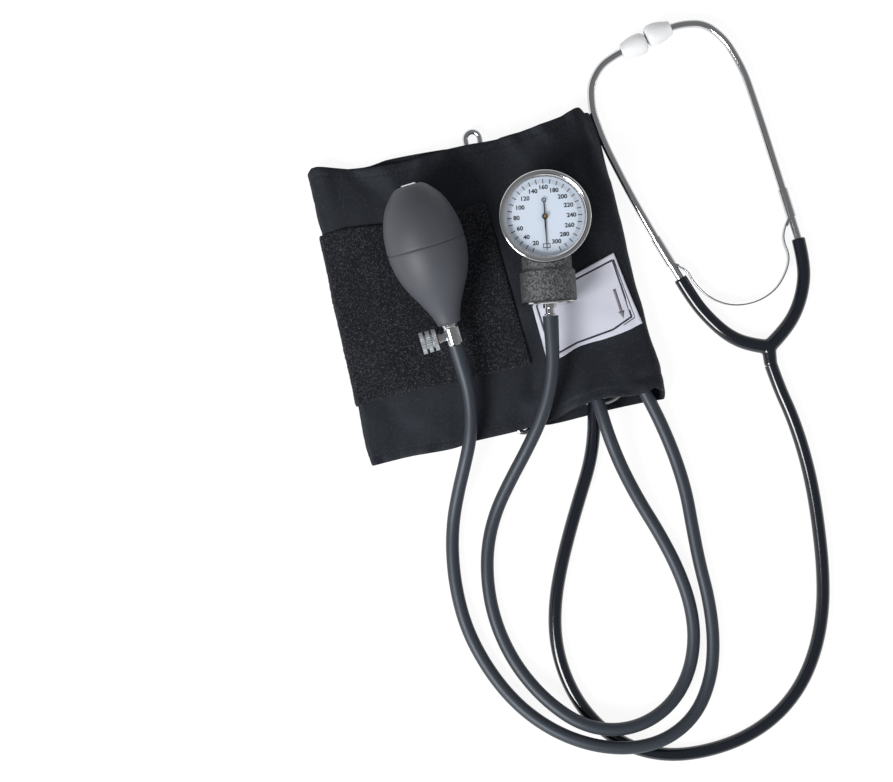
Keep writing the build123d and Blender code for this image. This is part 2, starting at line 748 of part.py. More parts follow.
def make_hairspring():
    turns = 3
    low, step = 1.2, 0.9
    radius = low
    centre = 0.0
    spot = (low, 0.0)
    arcs = []
    for half in range(2 * turns):
        side = 1 if half % 2 == 0 else -1
        far = (centre - side * radius, 0.0)
        arcs.append(ThreePointArc(spot, (centre, side * radius), far))
        spot = far
        radius += step / 2
        centre = spot[0] + side * radius
    path = Wire(arcs)
    coil = trace(path, line_width=0.2)
    collet = Circle(1.1) - Circle(0.62)
    spring = extrude(coil, amount=0.5) + extrude(collet, amount=0.7)
    save_gauge(Pos(0, 0, -10.6) * spring, "hairspring")
    stud = Pos(spot[0], 0.0, -10.3) * Box(0.9, 0.9, 1.1)
    post = Pos(spot[0] - 0.9, 0.0, -9.3) * Box(0.9, 0.9, 2.6)
    save_gauge(stud + post, "spring_stud")


def make_capsule():
    waves = 3
    outline = [(0.0, 38.6), (3.0, 38.6)]
    for i in range(waves):
        start = 3.6 + i * 2.6
        outline += [(start, 37.9), (start + 1.3, 38.7)]
    outline += [(11.6, 37.4), (11.6, 36.8)]
    for i in reversed(range(waves)):
        start = 3.6 + i * 2.6
        outline += [(start + 1.3, 35.2), (start, 36.0)]
    outline += [(3.0, 35.2), (0.0, 35.2)]
    save_gauge(revolved(outline, DRUM_FRAME), "capsule")
    foot = 39.9
    seat = revolved([(0.7, 38.65), (2.6, 38.65), (2.6, foot), (12.8, foot), (12.8, 43.25), (10.5, 43.25),
                     (10.5, 41.0), (0.7, 41.0)], DRUM_FRAME)
    save_gauge(seat, "capsule_seat")
    pin = rod(PIN_RADIUS, (0, PIN_START, DRUM_AXIS), (0, -33.9, DRUM_AXIS))
    pin += Pos(0, PIN_START, DRUM_AXIS) * Sphere(PIN_RADIUS)
    pin += revolved([(0, 33.8), (2.4, 33.8), (2.4, 35.15), (0, 35.15)], DRUM_FRAME)
    save_gauge(pin, "push_pin")


def make_inlet():
    plate = revolved([(0, 43.34), (14.75, 43.34), (14.75, 44.1), (14.3, 44.5), (0, 44.5)], DRUM_FRAME)
    plate -= revolved([(0, 40), (2.5, 40), (2.5, 46), (0, 46)], DRUM_FRAME)
    for x in (-9.5, 9.5):
        plate -= Plane(origin=(x, -44.6, DRUM_AXIS), z_dir=(0, 1, 0)) * Cylinder(0.9, 1.2)
    save_gauge(plate, "base_plate")
    nipple = revolved(
        [(0.9, 41.05), (2.45, 41.05), (2.45, 44.55), (3.5, 44.55), (3.5, 46.2), (2.35, 46.6), (2.35, 49.0),
         (3.1, 49.3), (3.1, 49.95), (1.9, 49.95), (1.9, 52.0), (2.2, 52.0), (1.8, 53.8), (2.2, 53.8),
         (1.7, 55.8), (0.9, 55.8)],
        DRUM_FRAME,
    )
    save_gauge(nipple, "gauge_nipple")


def make_hook():
    back = CASE_BACK
    profile = [
        (14.0, back - 0.05), (-9.0, back - 0.05), (-9.0, back - 1.25), (11.6, back - 1.25),
        (12.8, back - 2.4), (12.8, back - 4.8), (11.6, back - 5.8), (-7.0, back - 5.8),
        (-8.5, back - 4.4), (-9.4, back - 5.3), (-7.6, back - 7.0), (12.2, back - 7.0),
        (14.0, back - 5.3),
    ]
    corners = [(0, y, z) for y, z in profile]
    clip = extrude(make_face(Polyline(*corners, close=True).edges()), amount=6.0, dir=(1, 0, 0), both=True)
    rivets = []
    for y in (-5.0, 5.0):
        clip -= rod(1.0, (0, y, back - 2.0), (0, y, back))
        rivet = rod(0.95, (0, y, back - 1.3), (0, y, back - 0.02))
        rivet += rod(1.8, (0, y, back - 1.95), (0, y, back - 1.3))
        rivets.append(rivet)
    save_gauge(clip, "gauge_hook")
    save_gauge(Compound(children=rivets), "hook_rivets")


# Bulb: local Z runs from the tail to the neck, local X towards the release knob

BULB_DIRECTION = Vector(*BULB_AIM).normalized()
BULB_FRAME = Plane(
    origin=BULB_TAIL,
    x_dir=Vector(0, 0, 1).cross(BULB_DIRECTION).normalized() * -1,
    z_dir=BULB_DIRECTION,
)


def bulb_profile(shrink, ends):
    """Outline of the bulb from tail to neck, drawn inwards by the wall for its inside."""
    shape = [(1.6, 9.2), (9.0, 15.4), (20.0, 19.4), (31.0, 20.6), (41.0, 19.7), (51.0, 16.5), (60.0, 11.7),
             (67.0, 8.2), (72.0, 6.5)]
    low, high = ends
    return [(r - shrink, s) for s, r in shape if low < s < high]


def make_bulb():
    outer = [(r, 0, s) for r, s in bulb_profile(0.0, (0, 73))]
    outline = make_face(
        [
            Line((0, 0, 0), (6.4, 0, 0)),
            Spline((6.4, 0, 0), *outer, (6.2, 0, BULB_LENGTH)),
            Line((6.2, 0, BULB_LENGTH), (0, 0, BULB_LENGTH)),
            Line((0, 0, BULB_LENGTH), (0, 0, 0)),
        ]
    )
    inner = [(r, 0, s) for r, s in bulb_profile(BULB_WALL, (5, 62))]
    hollow = make_face(
        [
            Line((0, 0, 4.6), (7.6, 0, 4.6)),
            Spline((7.6, 0, 4.6), *inner, (4.6, 0, 64.0)),
            Line((4.6, 0, 64.0), (0, 0, 64.0)),
            Line((0, 0, 64.0), (0, 0, 4.6)),
        ]
    )
    bulb = revolve(outline, axis=Axis.Z) - revolve(hollow, axis=Axis.Z)
    bulb -= rod(4.05, (0, 0, -1), (0, 0, 6))
    bulb -= rod(4.45, (0, 0, 60), (0, 0, BULB_LENGTH + 1))
    save(BULB_FRAME * bulb, "bulb")


def make_valves():
    seat = revolved([(0.8, -0.8), (3.6, -0.8), (4.6, -0.2), (4.0, 0.0), (4.0, 6.0), (4.7, 6.2), (4.2, 8.0),
                     (1.0, 8.0), (1.0, 5.6), (1.75, 5.0), (1.75, 2.0), (0.8, 1.1)])
    save(BULB_FRAME * seat, "inlet_valve_seat")
    save(BULB_FRAME * Pos(0, 0, 2.75) * Sphere(BALL_RADIUS), "inlet_check_ball")

    body = revolved([(0, 62.0), (4.1, 62.0), (4.4, 63.0), (4.4, 74.0), (VALVE_RADIUS, 74.05), (4.6, 75.2),
                     (4.2, 75.8), (VALVE_RADIUS, 76.4), (VALVE_RADIUS, 84.6), (3.9, VALVE_END),
                     (1.9, VALVE_END), (1.9, 88.0), (2.2, 88.0), (1.8, 89.8), (2.2, 89.8), (1.7, 91.8),
                     (0, 91.8)])
    body += rod(2.6, (0, 0, VALVE_PORT), (6.4, 0, VALVE_PORT))
    body -= rod(0.8, (0, 0, 61), (0, 0, 92.5))
    body -= rod(1.75, (0, 0, 66.0), (0, 0, 70.0))
    body -= rod(0.7, (0, 0, VALVE_PORT), (3.0, 0, VALVE_PORT))
    body -= rod(1.55, (3.0, 0, VALVE_PORT), (7.0, 0, VALVE_PORT))
    save(BULB_FRAME * body, "release_valve_body")
    save(BULB_FRAME * Pos(0, 0, 67.55) * Sphere(BALL_RADIUS), "outlet_check_ball")

    gland = revolved([(1.55, 0), (3.1, 0), (3.1, 1.0), (2.7, 1.4), (1.55, 1.4)],
                     Plane(origin=(6.45, 0, VALVE_PORT), z_dir=(1, 0, 0)))
    save(BULB_FRAME * gland, "release_gland")
    seal = rod(1.4, (3.1, 0, VALVE_PORT), (4.0, 0, VALVE_PORT))
    save(BULB_FRAME * seal, "release_seal")
    stem = rod(1.5, (4.03, 0, VALVE_PORT), (KNOB_START, 0, VALVE_PORT))
    save(BULB_FRAME * stem, "release_stem")

    flange = KNOB_LENGTH * 0.24
    gap = (KNOB_LENGTH - 3 * flange) / 2
    axis = Plane(origin=(KNOB_START, 0, VALVE_PORT), z_dir=(1, 0, 0))
    core = axis * Cylinder(3.9, KNOB_LENGTH, align=(Align.CENTER, Align.CENTER, Align.MIN))
    ridges = 30
    rim = [polar(KNOB_RADIUS - 0.35 * (i % 2), 180.0 * i / ridges) for i in range(2 * ridges)]
    knurl = make_face(Polyline(*rim, close=True).edges())
    knob = core
    for i in range(3):
        knob += axis * Pos(0, 0, i * (flange + gap)) * extrude(knurl, amount=flange)
    knob -= axis * Pos(0, 0, KNOB_LENGTH - 0.8) * Cylinder(
        2.6, 2, align=(Align.CENTER, Align.CENTER, Align.MIN)
    )
    save(BULB_FRAME * knob, "release_knob")


# Hoses


def hose(route, diameter, name, sockets):
    """A hose along its route, stretched over the barb at each end that sockets names."""
    bar = bent_bar(route, diameter, name)
    ends = {"start": (route[0], route[1]), "end": (route[-1], route[-2])}
    for end, (flare, bore) in sockets.items():
        near, far = (Vector(*p) for p in ends[end])
        aim = (far - near).normalized()
        if flare:
            bar += cone(flare / 2, diameter / 2 - 0.15, near, near + aim * FLARE_LENGTH)
        bar -= rod(bore, near - aim, near + aim * HOSE_SOCKET)
    save(bar, name)


def make_hoses():
    hose(BULB_ROUTE, HOSE, "bulb_tube", {"start": (HOSE_FLARE, 2.25)})
    hose(GAUGE_ROUTE, HOSE, "gauge_tube", {"start": (HOSE_FLARE, 2.25)})
    hose(SOUND_ROUTE, SOUND_HOSE, "stethoscope_tube", {"end": (None, 1.8)})


# Stethoscope


def make_ear(side, route, tip_end, sleeve, lug):
    tube = bent_bar(route, EAR_TUBE)
    start, after = Vector(*route[0]), Vector(*route[1])
    tube -= rod(EAR_TUBE / 2 - 0.6, start - (after - start) * 0.1, start + (after - start) * 0.5)
    save(tube, f"ear_tube_{side}")
    end = Vector(*tip_end)
    aim = (after - end).normalized()
    frame = Plane(origin=end, z_dir=aim)
    profile = make_face(
        [
            Line((0, 0, 0), (3.3, 0, 0)),
            ThreePointArc((3.3, 0, 0), (5.1, 0, 1.1), (5.85, 0, 4.2)),
            ThreePointArc((5.85, 0, 4.2), (5.45, 0, 8.4), (4.3, 0, 12.0)),
            Line((4.3, 0, 12.0), (3.6, 0, 14.0)),
            Line((3.6, 0, 14.0), (0, 0, 14.0)),
            Line((0, 0, 14.0), (0, 0, 0)),
        ]
    )
    tip = frame * revolve(profile, axis=Axis.Z)
    tip -= rod(EAR_TUBE / 2, start, after)
    tip -= rod(1.0, end - aim, start + aim)
    save(tip, f"ear_tip_{side}")
    low, high = Vector(*sleeve[0]), Vector(*sleeve[1])
    crimp = rod(2.65, low, high) + lug
    save(crimp - tube, f"spring_sleeve_{side}")


def lug_at(spot, aim, length):
    """The small ear on a sleeve that the leaf spring is riveted to."""
    turn = math.degrees(math.atan2(aim[1], aim[0]))
    return Pos(*spot) * Rot(0, 0, turn) * Box(length, 1.6, 4.6)


def make_stethoscope():
    make_ear("left", LEFT_EAR_ROUTE, (113.4, 105.06, 5.87), LEFT_SLEEVE,
             lug_at((102.0, -12.9, LEAF_Z), (1.0, -0.6), 4.0))
    make_ear("right", RIGHT_EAR_ROUTE, (113.6, 107.24, 5.87), RIGHT_SLEEVE,
             lug_at((164.9, -4.2, LEAF_Z), (-0.7, -1.0), 4.4))

    leaf_path = FilletPolyline(*[(x, y, LEAF_Z) for x, y in LEAF_ROUTE],
                               radius=bend_radii([(x, y, LEAF_Z) for x, y in LEAF_ROUTE]))
    start = Vector(*LEAF_ROUTE[0], LEAF_Z)
    strip = Plane(origin=start, x_dir=(0, 0, 1), z_dir=leaf_path % 0) * Rectangle(LEAF[1], LEAF[0])
    save(sweep(strip, path=leaf_path), "leaf_spring")

    save(bent_bar(LEFT_ARM_ROUTE, Y_ARM, "y_arm_left"), "y_arm_left")
    save(bent_bar(RIGHT_ARM_ROUTE, Y_ARM, "y_arm_right"), "y_arm_right")
    middle = Vector(*Y_CENTRE)
    junction = Pos(*middle) * Sphere(3.55)
    for end in (LEFT_ARM_ROUTE[-1], RIGHT_ARM_ROUTE[-1], SOUND_ROUTE[0]):
        radius = SOUND_HOSE / 2 if end == SOUND_ROUTE[0] else Y_ARM / 2
        junction += rod(radius, end, middle)
    save(junction, "y_junction")


def make_chestpiece():
    x, y, z = CHEST_AT
    at = Pos(x, y, z)
    rim = revolved([(17.2, 0), (18.6, 0), (CHEST_RADIUS, 0.6), (CHEST_RADIUS, 1.4), (19.1, 1.75),
                    (17.9, 1.75), (17.9, 0.75), (17.2, 0.75)])
    save(at * rim, "chestpiece_rim")
    save(at * revolved([(0, 0.85), (17.8, 0.85), (17.8, 1.15), (0, 1.15)]), "chestpiece_diaphragm")
    back = make_face(
        [
            Line((0, 0, 2.3), (16.2, 0, 1.2)),
            Line((16.2, 0, 1.2), (17.8, 0, 1.2)),
            Line((17.8, 0, 1.2), (17.8, 0, 2.9)),
            ThreePointArc((17.8, 0, 2.9), (10.5, 0, 3.9), (5.6, 0, 4.8)),
            Line((5.6, 0, 4.8), (0, 0, 4.8)),
            Line((0, 0, 4.8), (0, 0, 2.3)),
        ]
    )
    hose_end = Vector(*SOUND_ROUTE[-1])
    inner = Vector(x, y, z + 2.3)
    aim = (hose_end - inner).normalized()
    shell = at * revolve(back, axis=Axis.Z)
    boss = rod(1.9, inner + aim * 6.0, inner + aim * 19.0)
    shell += boss & (at * Pos(0, 0, 1.8) * Cylinder(19.0, 14, align=(Align.CENTER, Align.CENTER, Align.MIN)))
    shell -= rod(1.35, inner + aim * 8.0, inner + aim * 25)
    save(shell, "chestpiece_body")
    reach = (hose_end - inner).length
    save(rod(1.3, inner + aim * 8.5, inner + aim * (reach + 5.0)), "chestpiece_stem")


make_cuff()
make_ring()
make_ports()
make_gauge_case()
make_window()
make_pointer()
make_movement()
make_frames()
make_hairspring()
make_capsule()
make_inlet()
make_hook()
make_bulb()
make_valves()
make_hoses()
make_stethoscope()
make_chestpiece()
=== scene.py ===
import bisect
import json
import math

import bmesh
import bpy
from mathutils import Matrix, Vector, noise


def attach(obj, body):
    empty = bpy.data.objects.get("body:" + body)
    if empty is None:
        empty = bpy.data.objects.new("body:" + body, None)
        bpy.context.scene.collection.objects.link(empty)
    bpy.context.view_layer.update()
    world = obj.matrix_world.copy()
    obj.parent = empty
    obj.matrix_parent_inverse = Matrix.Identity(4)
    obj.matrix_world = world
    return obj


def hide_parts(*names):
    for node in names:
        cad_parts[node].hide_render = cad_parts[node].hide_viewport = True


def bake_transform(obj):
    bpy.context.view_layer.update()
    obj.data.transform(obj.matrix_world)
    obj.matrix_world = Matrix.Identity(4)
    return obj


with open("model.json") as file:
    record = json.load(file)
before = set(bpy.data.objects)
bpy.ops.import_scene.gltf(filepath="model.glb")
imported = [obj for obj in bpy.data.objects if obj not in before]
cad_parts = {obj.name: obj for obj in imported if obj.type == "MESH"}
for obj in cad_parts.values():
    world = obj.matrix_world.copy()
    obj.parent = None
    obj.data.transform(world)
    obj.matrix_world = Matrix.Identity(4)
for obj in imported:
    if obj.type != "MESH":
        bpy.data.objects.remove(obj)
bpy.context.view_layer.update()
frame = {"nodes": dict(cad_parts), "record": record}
nodes = frame["nodes"]
ROOT = "cuff_and_gauge"
MM = 0.001


# Camera: it looks straight down on the table from a metre above it, and is turned
# 13 degrees on the cuff, as in the photograph.

VIEW_TURN = math.radians(-13.0)


def in_scene(name, data):
    """A new object for some data, linked to the scene."""
    made = bpy.data.objects.new(name, data)
    bpy.context.scene.collection.objects.link(made)
    return made


camera = in_scene("camera", bpy.data.cameras.new("camera"))
camera.location = (-0.0305, -0.0506, 1.0)
camera.rotation_euler = (0, 0, VIEW_TURN)
camera.data.sensor_width = 36.0
camera.data.lens = 76.06
camera.data.clip_start = 0.05
bpy.context.scene.camera = camera
bpy.context.scene.view_settings.view_transform = "Standard"


# Table and backdrop: a white sheet that keeps a soft shadow, in a studio that is grey overhead
# with one dark band along its left. The key light is low at the left. Metal sees the sheet a
# little darker than the camera does, so that its outline shows against it.

BAND_DARK, CEILING = 0.06, 0.20
PAPER_GLOW = 0.88


class Value:
    """A shader socket that arithmetic works on: each operation adds its Math node."""

    def __init__(self, finish, socket):
        self.finish, self.socket = finish, socket

    def _with(self, operation, *values):
        return self.finish.node("Math", {"operation": operation}, dict(enumerate(values)))

    def __add__(self, other):
        return self._with("ADD", self, other)

    def __radd__(self, other):
        return self._with("ADD", other, self)

    def __mul__(self, other):
        return self._with("MULTIPLY", self, other)

    def __rmul__(self, other):
        return self._with("MULTIPLY", other, self)

    def __gt__(self, other):
        return self._with("GREATER_THAN", self, other)

    def sine(self):
        return self._with("SINE", self)

    def larger(self, other):
        return self._with("MAXIMUM", self, other)

    def smaller(self, other):
        return self._with("MINIMUM", self, other)


class Finish:
    """A node tree under construction."""

    def __init__(self, tree):
        self.tree = tree
        tree.nodes.clear()

    def node(self, kind, settings=None, inputs=None, out=0):
        made = self.tree.nodes.new("ShaderNode" + kind)
        for key, value in (settings or {}).items():
            if key == "stops":
                ramp = made.color_ramp.elements
                while len(ramp) < len(value):
                    ramp.new(0.5)
                for element, (place, colour) in zip(ramp, value):
                    element.position, element.color = place, colour
            else:
                setattr(made, key, value)
        for key, value in (inputs or {}).items():
            if isinstance(value, Value):
                self.tree.links.new(value.socket, made.inputs[key])
            else:
                made.inputs[key].default_value = value
        return Value(self, made.outputs[out])

    def axes(self, vector):
        """The three parts of a vector."""
        parts = self.node("SeparateXYZ", None, {0: vector}).socket.node
        return [Value(self, parts.outputs[i]) for i in range(3)]

    def mix(self, share, first, second):
        """A colour between two colours."""
        return self.node("Mix", {"data_type": "RGBA"}, {0: share, 6: first, 7: second}, 2)

    def ends_in(self, kind, shader):
        output = self.tree.nodes.new("ShaderNode" + kind)
        self.tree.links.new(shader.socket, output.inputs["Surface"])


def grey(level):
    return (level, level, level, 1.0)


def mesh_from(name, shape):
    """The mesh that a finished bmesh becomes."""
    mesh = bpy.data.meshes.new(name)
    shape.to_mesh(mesh)
    shape.free()
    return mesh


world = bpy.data.worlds.new("studio")
bpy.context.scene.world = world
world.use_nodes = True
sky = Finish(world.node_tree)
rays = sky.node("LightPath").socket.node
to_right, _, up = sky.axes(sky.node("TexCoord"))
left_wall = sky.node("ValToRGB", {"stops": [
    (0.0, grey(1.0)), (0.28, grey(1.0)), (0.36, grey(BAND_DARK)), (0.56, grey(BAND_DARK)),
    (0.66, grey(CEILING)), (1.0, grey(CEILING)),
]}, {0: up})
right_wall = sky.node("ValToRGB", {"stops": [
    (0.0, grey(0.60)), (0.12, grey(0.38)), (0.50, grey(0.24)), (1.0, grey(CEILING)),
]}, {0: up})
walls = sky.mix((to_right * 4 + 0.5).larger(0.0).smaller(1.0), left_wall, right_wall)
room = sky.node("Background", None, {0: walls, 1: 1.0})
white = sky.node("Background", None, {0: grey(1.0), 1: 1.0})
to_camera = Value(sky, rays.outputs["Is Camera Ray"])
sky.ends_in("OutputWorld", sky.node("MixShader", None, {0: to_camera, 1: room, 2: white}))

sheet = bmesh.new()
bmesh.ops.create_grid(sheet, x_segments=1, y_segments=1, size=3.0)
table = in_scene("table", mesh_from("table", sheet))
table.location = (0, 0, -0.0002)
paper = bpy.data.materials.new("white_paper")
paper.use_nodes = True
look = Finish(paper.node_tree)
rays = look.node("LightPath").socket.node
to_camera = Value(look, rays.outputs["Is Camera Ray"])
seen = to_camera.larger(Value(look, rays.outputs["Is Glossy Ray"]))
seen = seen.larger(Value(look, rays.outputs["Is Transmission Ray"]))
look.ends_in("OutputMaterial", look.node("MixShader", None, {
    0: seen * PAPER_GLOW,
    1: look.node("BsdfDiffuse", None, {"Color": grey(0.9)}),
    2: look.node("Emission", None, {"Color": grey(1.0), "Strength": to_camera * 0.08 + 0.95}),
}))
table.data.materials.append(paper)


def lamp(name, place, size, power, aim=(0.03, -0.03, 0.0)):
    """A soft box that faces the object."""
    light = in_scene(name, bpy.data.lights.new(name, "AREA"))
    light.data.shape = "RECTANGLE"
    light.data.size, light.data.size_y = size
    light.data.energy = power
    light.location = place
    light.rotation_mode = "QUATERNION"
    light.rotation_quaternion = (Vector(aim) - Vector(place)).to_track_quat("-Z", "Y")
    return light


lamp("key_box", (-1.00, -0.62, 1.05), (0.7, 0.7), 31.0)
for fill in (
    lamp("front_box", (0.30, -1.40, 1.00), (2.0, 0.3), 12.0),
    lamp("right_box", (1.25, 0.40, 1.00), (1.4, 0.3), 9.0),
):
    fill.visible_glossy = False


# Air hoses: two black rubber hoses from the bulb's valve and from the gauge's nipple,
# pushed over barbs and led in one loose loop into the mouth of the cuff. They are drawn 6.9 mm
# wide, so they lie a quarter of a millimetre higher than the 6.4 mm solids.

HOSE_WIDTH, HOSE_LIFT = 6.9 * MM, 0.25
BULB_ROUTE = [
    (-20.45, -28.62, 23.07), (-19.74, -39.69, 21.78), (-19.1, -51.5, 19.9), (-20.4, -64.3, 18.4),
    (-23.9, -77.5, 16.7), (-29.7, -90.0, 12.7), (-36.0, -102.8, 7.8), (-42.4, -117.7, 3.9),
    (-46.9, -134.6, 3.2), (-49.2, -154.1, 3.2), (-48.5, -174.4, 3.2), (-43.8, -193.9, 3.2),
    (-36.1, -212.2, 3.6), (-25.7, -227.5, 6.2), (-11.6, -240.6, 9.6), (6.0, -250.6, 11.4),
    (25.3, -255.6, 11.4), (43.6, -254.4, 9.0), (60.1, -245.8, 5.5), (71.6, -229.7, 3.4),
    (77.6, -210.5, 3.2), (79.8, -189.3, 3.2), (79.2, -168.6, 3.2), (79.9, -149.2, 3.2),
    (80.8, -131.0, 3.2), (79.5, -113.3, 3.4), (76.7, -96.4, 4.6), (72.8, -80.3, 6.4), (69.0, -67.0, 8.4),
]
GAUGE_ROUTE = [
    (30.45, -24.8, 27.5), (28.6, -36.5, 27.1), (26.2, -49.6, 25.9), (21.2, -63.2, 23.6),
    (13.2, -77.2, 20.4), (2.9, -90.5, 15.4), (-8.4, -103.8, 9.6), (-19.6, -118.4, 4.8),
    (-27.7, -134.7, 3.2), (-32.1, -152.7, 3.2), (-33.1, -171.4, 3.2), (-30.4, -189.9, 3.2),
    (-24.2, -207.2, 4.8), (-14.5, -223.0, 8.5), (-1.5, -236.5, 11.4), (14.5, -243.9, 11.4),
    (31.8, -244.4, 9.4), (48.2, -238.0, 6.0), (60.7, -225.0, 3.6), (68.1, -207.2, 3.2),
    (69.8, -188.1, 3.2), (67.3, -168.5, 3.2), (62.1, -148.9, 3.2), (55.5, -130.0, 4.6),
    (50.1, -110.8, 8.6), (47.1, -93.7, 12.0), (46.0, -80.5, 11.9), (45.4, -69.5, 10.2),
]


class Material(Finish):
    """A finish for a piece: one Principled shader whose sockets are given by name."""

    def __init__(self, name):
        self.material = bpy.data.materials.new(name)
        self.material.use_nodes = True
        super().__init__(self.material.node_tree)
        self.here = self.node("TexCoord", None, None, 3)

    def noise(self, scale, detail=3.0):
        return self.node("TexNoise", None, {"Vector": self.here, "Scale": scale, "Detail": detail})

    def bump(self, height, depth):
        return self.node("Bump", None, {"Height": height, "Strength": 1.0, "Distance": depth})

    def done(self, **sockets):
        named = {key.replace("_", " "): value for key, value in sockets.items()}
        self.ends_in("OutputMaterial", self.node("BsdfPrincipled", None, named))
        return self.material


def hose_rubber():
    m = Material("hose_rubber")
    dust = m.noise(90.0, 4.0)
    streak = m.noise(14.0, 2.0)
    colour = m.mix(streak, (0.018, 0.021, 0.028, 1), (0.026, 0.030, 0.039, 1))
    skin = m.noise(2600.0, 2.0)
    return m.done(Base_Color=colour, Roughness=dust * 0.10 + 0.42, Specular_IOR_Level=0.45,
                  Specular_Tint=(0.85, 0.93, 1.0, 1), Normal=m.bump(skin, 0.00003))


def tube_along(name, route, width, flare=()):
    """A hose on one smooth spline, stretched at its first points where it sits on a barb."""
    line = bpy.data.curves.new(name, "CURVE")
    line.dimensions = "3D"
    line.bevel_depth = width / 2
    line.bevel_resolution = 7
    line.resolution_u = 10
    line.use_fill_caps = True
    spline = line.splines.new("NURBS")
    spline.points.add(len(route) - 1)
    for point, place in zip(spline.points, route):
        point.co = (*(c * MM for c in place), 1.0)
    for point, swell in zip(spline.points, flare):
        point.radius = swell
    spline.order_u = 3
    spline.use_endpoint_u = True
    return in_scene(name, line)


rubber = hose_rubber()
for name, node, route, length, flare in (
    ("bulb_hose", "bulb_tube", BULB_ROUTE, 0.490, (1.20, 1.14, 1.02)),
    ("gauge_hose", "gauge_tube", GAUGE_ROUTE, 0.470, (1.20, 1.06, 1.0)),
):
    hose = tube_along(name, [(x, y, z + HOSE_LIFT) for x, y, z in route], HOSE_WIDTH, flare)
    hose.data.materials.append(rubber)
    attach(hose, ROOT)
    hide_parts(node)


# Sound tube: glossy black vinyl tubing of 7 mm from the moulded Y of the ear pieces
# to the chest piece, which is stored inside the folded cuff.

SOUND_WIDTH = 7.0 * MM
SOUND_ROUTE = [
    (139.6, -75.6, 3.55), (141.0, -88.0, 3.5), (144.4, -104.5, 3.5), (146.3, -124.4, 3.5),
    (146.4, -145.0, 3.5), (144.7, -166.3, 3.5), (142.0, -187.4, 3.5), (137.3, -208.0, 3.5),
    (128.9, -227.7, 3.5), (116.9, -244.5, 3.5), (101.0, -257.1, 3.5), (81.9, -264.6, 3.5),
    (61.3, -266.9, 3.5), (41.2, -264.9, 3.5), (23.5, -257.1, 3.5), (9.7, -244.1, 3.5),
    (0.5, -227.4, 3.5), (-3.9, -209.0, 3.5), (-4.0, -190.5, 3.5), (0.3, -172.0, 3.5),
    (7.7, -154.2, 3.5), (16.6, -136.8, 3.5), (25.8, -120.4, 3.5), (34.2, -105.8, 3.6),
    (39.6, -92.2, 4.4), (42.8, -79.0, 5.3), (44.4, -72.4, 5.75),
]


def sound_vinyl():
    m = Material("sound_vinyl")
    wave = m.noise(60.0, 2.0)
    colour = m.mix(m.noise(20.0, 2.0), (0.003, 0.005, 0.009, 1), (0.006, 0.008, 0.013, 1))
    return m.done(Base_Color=colour, Roughness=wave * 0.10 + 0.12, Coat_Weight=0.3, Coat_Roughness=0.08,
                  Normal=m.bump(wave, 0.00012))


vinyl = sound_vinyl()
sound_hose = tube_along("sound_hose", SOUND_ROUTE, SOUND_WIDTH)
sound_hose.data.materials.append(vinyl)
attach(sound_hose, ROOT)
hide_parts("stethoscope_tube")


# Moulded Y: one dip-moulded vinyl piece whose two arms grip the ear tubes.

LEFT_ARM = [(103.1, -20.3, 3.6), (107.2, -33.0, 3.56), (113.6, -45.3, 3.55), (121.8, -56.4, 3.55),
            (132.0, -63.3, 3.55), (140.6, -66.2, 3.55)]
RIGHT_ARM = [(168.55, -13.7, 3.6), (168.8, -27.6, 3.56), (165.0, -40.9, 3.55), (157.9, -52.8, 3.55),
             (148.4, -61.3, 3.55), (140.6, -66.2, 3.55)]
STEM = [(140.6, -66.2, 3.55), (139.9, -71.0, 3.55), (139.55, -75.9, 3.55)]
ARM_FLARE, STEM_FLARE = (1.03, 1.0, 1.0, 1.02, 1.08, 1.12), (1.12, 1.05, 1.0)


def mesh_of(obj):
    """The finished mesh of a curve or of a piece with modifiers, and the source removed."""
    made = bpy.data.meshes.new_from_object(obj.evaluated_get(bpy.context.evaluated_depsgraph_get()))
    bpy.data.objects.remove(obj)
    return made


def piece(name, mesh, material, smooth=True):
    """An object at the origin around a finished mesh."""
    mesh.materials.clear()
    mesh.materials.append(material)
    for face in mesh.polygons:
        face.use_smooth = smooth
    return in_scene(name, mesh)


def y_piece():
    shape = bmesh.new()
    for number, (route, width, flare) in enumerate((
        (LEFT_ARM, 7.1, ARM_FLARE), (RIGHT_ARM, 7.1, ARM_FLARE), (STEM, 7.0, STEM_FLARE),
    )):
        arm = tube_along(f"arm_{number}", route, width * MM, flare)
        bpy.context.view_layer.update()
        shape.from_mesh(mesh_of(arm))
    bmesh.ops.remove_doubles(shape, verts=shape.verts, dist=1e-6)
    bmesh.ops.recalc_face_normals(shape, faces=shape.faces)
    rough = in_scene("y_rough", mesh_from("y_piece", shape))
    skin = rough.modifiers.new("skin", "REMESH")
    skin.mode, skin.voxel_size = "VOXEL", 0.00045
    melt = rough.modifiers.new("melt", "SMOOTH")
    melt.iterations, melt.factor = 14, 0.6
    bpy.context.view_layer.update()
    return mesh_of(rough)


y_tube = piece("y_tube", y_piece(), vinyl)
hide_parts("y_junction", "y_arm_left", "y_arm_right")
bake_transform(y_tube)


# Folded cuff cloth: a strip of black coated nylon, 156 mm wide. From its end round the
# ring it lies on the table, folds up at the right over the stored chest piece, runs
# back on top, folds under at the left and passes round the ring's other bar.

CUFF_LOW, CUFF_HIGH, CUFF_MOUTH = -79.5, 76.5, -52.0
CUFF_WIDTH = CUFF_HIGH - CUFF_LOW
RING_LEVEL, RING_BAR = 3.2, 3.75
LOOP_REACH = 2.7
FOLD_SQUARENESS = 2.6
ONE_PLY, PADDED = 1.5, 2.7
TABLE_PLY = 0.9

